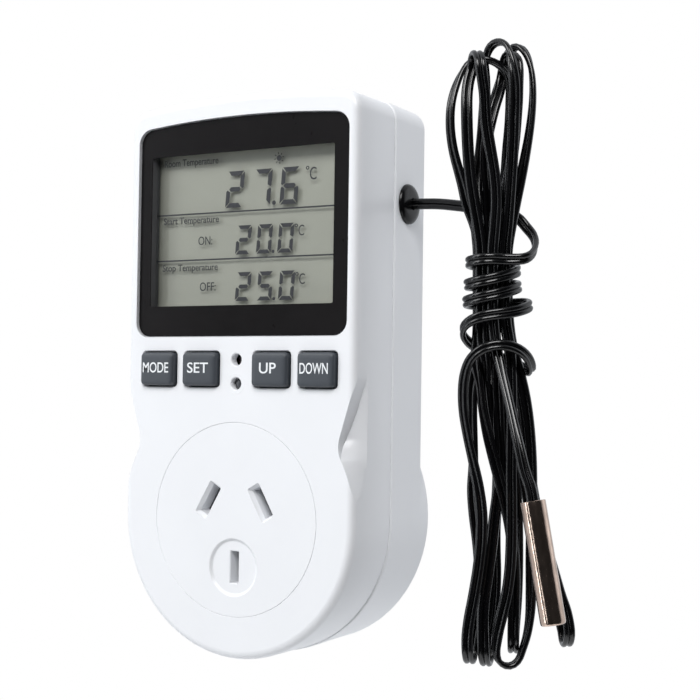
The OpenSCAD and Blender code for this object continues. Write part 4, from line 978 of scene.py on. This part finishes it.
# T2: up the left band and over the front loop with the highlights
run([(478.0, 225, -1.3, 0), (473.6, 200, -1.2, 0), (469.6, 171, -1.1, 0), (467.6, 142, -1.0, -5), (466.8, 115, -0.8, -5), (467.0, 93, 0.0, 0),
     (469.2, 78, 1.1, 5)])
bend(472.2, 1.8, 481.0, -4.3, 52.6, -1)
run([(482.6, 79, -3.9, 10), (484.6, 92, -3.3, 0), (485.2, 106, -2.5, 0), (486.0, 120, -2.2, 0), (488.2, 136, -2.0, 0), (491.4, 155, -1.9, 0), (494.8, 177, -2.0, 0),
     (496.2, 201, -2.2, 0), (494.8, 226, -2.5, 0), (492.8, 250, -2.6, 0), (492.5, 272, -2.6, 0), (492.5, 297, -2.6, 0), (493.2, 322, -2.7, 0),
     (495.8, 345, -3.2, 15)])
# the tail, across the front of the folds into the probe
run([(500.8, 368, -4.9, 35), (507.0, 394, -7.4, 45), (513.2, 421, -9.8, 45), (519.2, 448, -11.7, 30), (524.6, 471, -12.8, 10)])
W_END = -ACROSS
route.append((PROBE_TOP - AX * 2.6 + np.array([-0.12, 0.12, 0]), W_END))
route.append((PROBE_TOP + AX * 0.85, W_END))


def spline(points, widths, step):
    """A centripetal Catmull-Rom curve through the points, at even steps along it."""
    p = np.array(points)
    w = np.array(widths)
    p = np.vstack([2 * p[0] - p[1], p, 2 * p[-1] - p[-2]])
    w = np.vstack([w[0], w, w[-1]])
    out, ow = [], []
    for i in range(1, len(p) - 2):
        p0, p1, p2, p3 = p[i - 1:i + 3]
        t0 = 0.0
        t1 = t0 + np.linalg.norm(p1 - p0) ** 0.5
        t2 = t1 + np.linalg.norm(p2 - p1) ** 0.5
        t3 = t2 + np.linalg.norm(p3 - p2) ** 0.5
        n = max(2, int(np.linalg.norm(p2 - p1) / (step * 0.25)))
        for t in np.linspace(t1, t2, n, endpoint=False):
            a1 = (t1 - t) / (t1 - t0) * p0 + (t - t0) / (t1 - t0) * p1
            a2 = (t2 - t) / (t2 - t1) * p1 + (t - t1) / (t2 - t1) * p2
            a3 = (t3 - t) / (t3 - t2) * p2 + (t - t2) / (t3 - t2) * p3
            b1 = (t2 - t) / (t2 - t0) * a1 + (t - t0) / (t2 - t0) * a2
            b2 = (t3 - t) / (t3 - t1) * a2 + (t - t1) / (t3 - t1) * a3
            out.append((t2 - t) / (t2 - t1) * b1 + (t - t1) / (t2 - t1) * b2)
            k = (t - t1) / (t2 - t1)
            k = k * k * (3 - 2 * k)
            ow.append(w[i] * (1 - k) + w[i + 1] * k)
    out.append(p[-2])
    ow.append(w[-1])
    return resample(np.array(out), np.array(ow), step)


def resample(q, w, step):
    d = np.concatenate([[0], np.cumsum(np.linalg.norm(np.diff(q, axis=0), axis=1))])
    n = int(round(d[-1] / step))
    s = np.linspace(0, d[-1], n + 1)
    q2 = np.stack([np.interp(s, d, q[:, k]) for k in range(3)], 1)
    w2 = np.stack([np.interp(s, d, w[:, k]) for k in range(3)], 1)
    return q2, w2


def frames(q, w):
    """Unit tangent, width direction and thickness direction at each point."""
    t = np.gradient(q, axis=0)
    t /= np.linalg.norm(t, axis=1)[:, None]
    a = w - (w * t).sum(1)[:, None] * t
    ln = np.linalg.norm(a, axis=1)
    a /= np.maximum(ln, 1e-6)[:, None]
    for i in range(1, len(a)):
        if ln[i] < 0.15:
            v = a[i - 1] - (a[i - 1] @ t[i]) * t[i]
            a[i] = v / np.linalg.norm(v)
        elif a[i] @ a[i - 1] < 0:
            a[i:] = -a[i:]
    return t, a, np.cross(t, a)


def smooth_rows(x, sigma, fixed=0):
    """Gaussian smoothing along the cord; the ends stay."""
    r = int(3 * sigma)
    k = np.exp(-0.5 * (np.arange(-r, r + 1) / sigma) ** 2)
    k /= k.sum()
    pad = np.vstack([np.repeat(x[:1], r, 0), x, np.repeat(x[-1:], r, 0)])
    return np.stack([np.convolve(pad[:, c], k, "valid") for c in range(x.shape[1])], 1)


STEP = 1.0
CW, CT = 2.4, 1.22
q, w = spline([r[0] for r in route], [r[1] for r in route], STEP)


def settle_width(q, w):
    """The flat cord bends over its thin side: its width lies across a sharp bend, and as given elsewhere."""
    qs = smooth_rows(q, 1.5)
    t = np.gradient(qs, axis=0)
    t /= np.linalg.norm(t, axis=1)[:, None]
    bent = np.cross(t, np.gradient(t, axis=0))
    amount = np.linalg.norm(bent, axis=1)
    out = w.copy()
    for i in range(len(w)):
        g = w[i] - (w[i] @ t[i]) * t[i]
        g /= max(np.linalg.norm(g), 1e-6)
        if i and g @ out[i - 1] < 0:
            g = -g
        k = min(1.0, max(0.0, (amount[i] - 0.09) / 0.16))
        x = bent[i] / max(amount[i], 1e-6)
        if x @ g < 0:
            x = -x
        v = (1 - k) * g + k * x
        out[i] = v / max(np.linalg.norm(v), 1e-6)
        if i and out[i] @ out[i - 1] < 0:
            out[i] = -out[i]
    return smooth_rows(out, 2.5)


w = settle_width(q, w)
home = q.copy()
N = len(q)
idx = np.arange(N)
near_ends = (idx < 24) | (idx > N - 8)


def spread(q, w, rounds, gap):
    """Pushes touching stretches of the cord apart, for the given number of rounds."""
    for it in range(rounds):
        t, a, n = frames(q, w)
        if it % 8 == 0:
            d2 = ((q[:, None, :] - q[None, :, :]) ** 2).sum(2)
            near = (d2 < 16.0) & (np.abs(idx[:, None] - idx[None, :]) > 5)
            I, J = np.nonzero(np.triu(near))
        d = q[J] - q[I]
        dist = np.linalg.norm(d, axis=1) + 1e-9
        u = d / dist[:, None]
        hi = np.sqrt((CW / 2 * (u * a[I]).sum(1)) ** 2 + (CT / 2 * (u * n[I]).sum(1)) ** 2 + (0.3 * (u * t[I]).sum(1)) ** 2)
        hj = np.sqrt((CW / 2 * (u * a[J]).sum(1)) ** 2 + (CT / 2 * (u * n[J]).sum(1)) ** 2 + (0.3 * (u * t[J]).sum(1)) ** 2)
        miss = np.clip(hi + hj + gap - dist, 0, None)
        # across the width the cords give way in thickness first
        ni, nj = (u * n[I]).sum(1)[:, None] * n[I], (u * n[J]).sum(1)[:, None] * n[J]
        way = u + 1.5 * (ni + nj)
        way /= np.linalg.norm(way, axis=1)[:, None]
        push = np.zeros_like(q)
        cnt = np.zeros(N)
        np.add.at(push, I, -way * (miss * 0.5)[:, None])
        np.add.at(push, J, way * (miss * 0.5)[:, None])
        np.add.at(cnt, I, (miss > 0))
        np.add.at(cnt, J, (miss > 0))
        push /= np.maximum(cnt, 1)[:, None] ** 0.5
        push[near_ends] = 0
        push = smooth_rows(push, 1.6)
        push[:24] *= 0
        push[-8:] *= 0
        q = q + 0.75 * push + 0.01 * (home - q)
    return q, float(miss.max()), int((miss > 0.15).sum())


q, worst, left = spread(q, w, 90, 0.03)
print("cord spread", N, "samples, worst overlap", round(worst, 2), "mm, over 0.15 mm:", left)
q[24:-8] = smooth_rows(q, 0.7)[24:-8]
w = settle_width(q, w)
t, a, n = frames(q, w)
# section of the flat twin cord: two round cores side by side, joined by a thin web
sec = []
for ang in (-142, -108, -72, -36, 0, 36, 72, 108, 142):
    sec.append((0.6 + 0.6 * math.cos(math.radians(ang)), 0.61 * math.sin(math.radians(ang))))
sec.append((0.0, 0.22))
for ang in (38, 72, 108, 144, 180, 216, 252, 288, 322):
    sec.append((-0.6 + 0.6 * math.cos(math.radians(ang)), 0.61 * math.sin(math.radians(ang))))
sec.append((0.0, -0.22))
rings = [[tuple(q[i] + x * a[i] + y * n[i]) for x, y in sec] for i in range(N)]
cord = loft("sensor_cord", rings, "cord_black", sharp=70)
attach(cord, "case")
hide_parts("sensor_cord_lead", "sensor_cord_hank", "sensor_cord_tail")

# ---------------------------------------------------------------- CAD nodes that stay: finishes
SLOTS = {s["node"]: s["material_slot"] for s in frame["record"]["subparts"]}
for name, ob in frame["nodes"].items():
    slot_name = SLOTS.get(name)
    if slot_name in M:
        if not ob.data.materials:
            ob.data.materials.append(M[slot_name])
        else:
            for i in range(len(ob.data.materials)):
                ob.data.materials[i] = M[slot_name]
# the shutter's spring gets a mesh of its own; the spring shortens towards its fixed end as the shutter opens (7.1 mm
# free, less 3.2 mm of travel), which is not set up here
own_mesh(frame["nodes"]["shutter_spring"])

# ---------------------------------------------------------------- floor, light
floor_me = bpy.data.meshes.new("floor")
S = 0.9
floor_me.from_pydata([(-S, -S, -0.9), (S, -S, -0.9), (S, S, -0.9), (-S, S, -0.9)], [], [(0, 1, 2, 3)])
floor = bpy.data.objects.new("floor", floor_me)
bpy.context.scene.collection.objects.link(floor)
fm = bpy.data.materials.new("floor_pale")
fm.use_nodes = True
fm.node_tree.nodes["Principled BSDF"].inputs["Base Color"].default_value = (0.9, 0.9, 0.9, 1)
fm.node_tree.nodes["Principled BSDF"].inputs["Roughness"].default_value = 0.9
fm.node_tree.nodes["Principled BSDF"].inputs["Emission Color"].default_value = (1, 1, 1, 1)
fm.node_tree.nodes["Principled BSDF"].inputs["Emission Strength"].default_value = 0.35
floor_me.materials.append(fm)

world = bpy.data.worlds.new("studio")
bpy.context.scene.world = world
world.use_nodes = True
nt = world.node_tree
nd, lk = nt.nodes, nt.links
bg = nd["Background"]
tc = nd.new("ShaderNodeTexCoord")
dot_n = nd.new("ShaderNodeVectorMath")
dot_n.operation = "DOT_PRODUCT"
dot_n.inputs[1].default_value = (0.5, -0.866, 0.0)
lk.new(tc.outputs["Generated"], dot_n.inputs[0])
mr = nd.new("ShaderNodeMapRange")
mr.inputs["From Min"].default_value = 0.15
mr.inputs["From Max"].default_value = 0.36
mr.inputs["To Min"].default_value = 0.87
mr.inputs["To Max"].default_value = 0.03
lk.new(dot_n.outputs["Value"], mr.inputs["Value"])
bg2 = nd.new("ShaderNodeBackground")
bg2.inputs["Color"].default_value = (1, 1, 1, 1)
bg2.inputs["Strength"].default_value = 1.0
lp = nd.new("ShaderNodeLightPath")
mix = nd.new("ShaderNodeMixShader")
bg.inputs["Color"].default_value = (0.93, 0.96, 1.0, 1)
lk.new(mr.outputs["Result"], bg.inputs["Strength"])
lk.new(lp.outputs["Is Camera Ray"], mix.inputs["Fac"])
lk.new(bg.outputs["Background"], mix.inputs[1])
lk.new(bg2.outputs["Background"], mix.inputs[2])
lk.new(mix.outputs["Shader"], nd["World Output"].inputs["Surface"])


def area(name, loc, target, size, power, size_y=None, color=(1, 1, 1)):
    ld = bpy.data.lights.new(name, "AREA")
    ld.energy = power
    ld.size = size
    ld.color = color
    if size_y:
        ld.shape = "RECTANGLE"
        ld.size_y = size_y
    ob = bpy.data.objects.new(name, ld)
    bpy.context.scene.collection.objects.link(ob)
    ob.location = loc
    ob.rotation_euler = (Vector(target) - Vector(loc)).to_track_quat("-Z", "Y").to_euler()
    return ob


area("left_light", (-0.542, -0.794, 0.774), (0, -0.02, 0.035), 0.45, 4.6, 0.45)
area("front_light", (0.377, -0.829, 0.838), (0, -0.02, 0.035), 0.55, 11.3, 0.55)
area("left_strip", (-0.80, -0.77, 0.10), (0.03, -0.02, 0.04), 0.10, 2.0, 1.1, (0.93, 0.97, 1.0))
area("front_strip", (-0.443, -1.035, 0.10), (0.03, -0.02, 0.04), 0.10, 1.2, 1.1, (0.93, 0.97, 1.0))
area("back_light", (0.42, 0.30, 0.22), (0.03, 0.0, 0.03), 0.25, 0.16, 0.4, (0.93, 0.96, 1.0))

bpy.context.scene.view_settings.view_transform = "Standard"
bpy.context.scene.view_settings.look = "None"
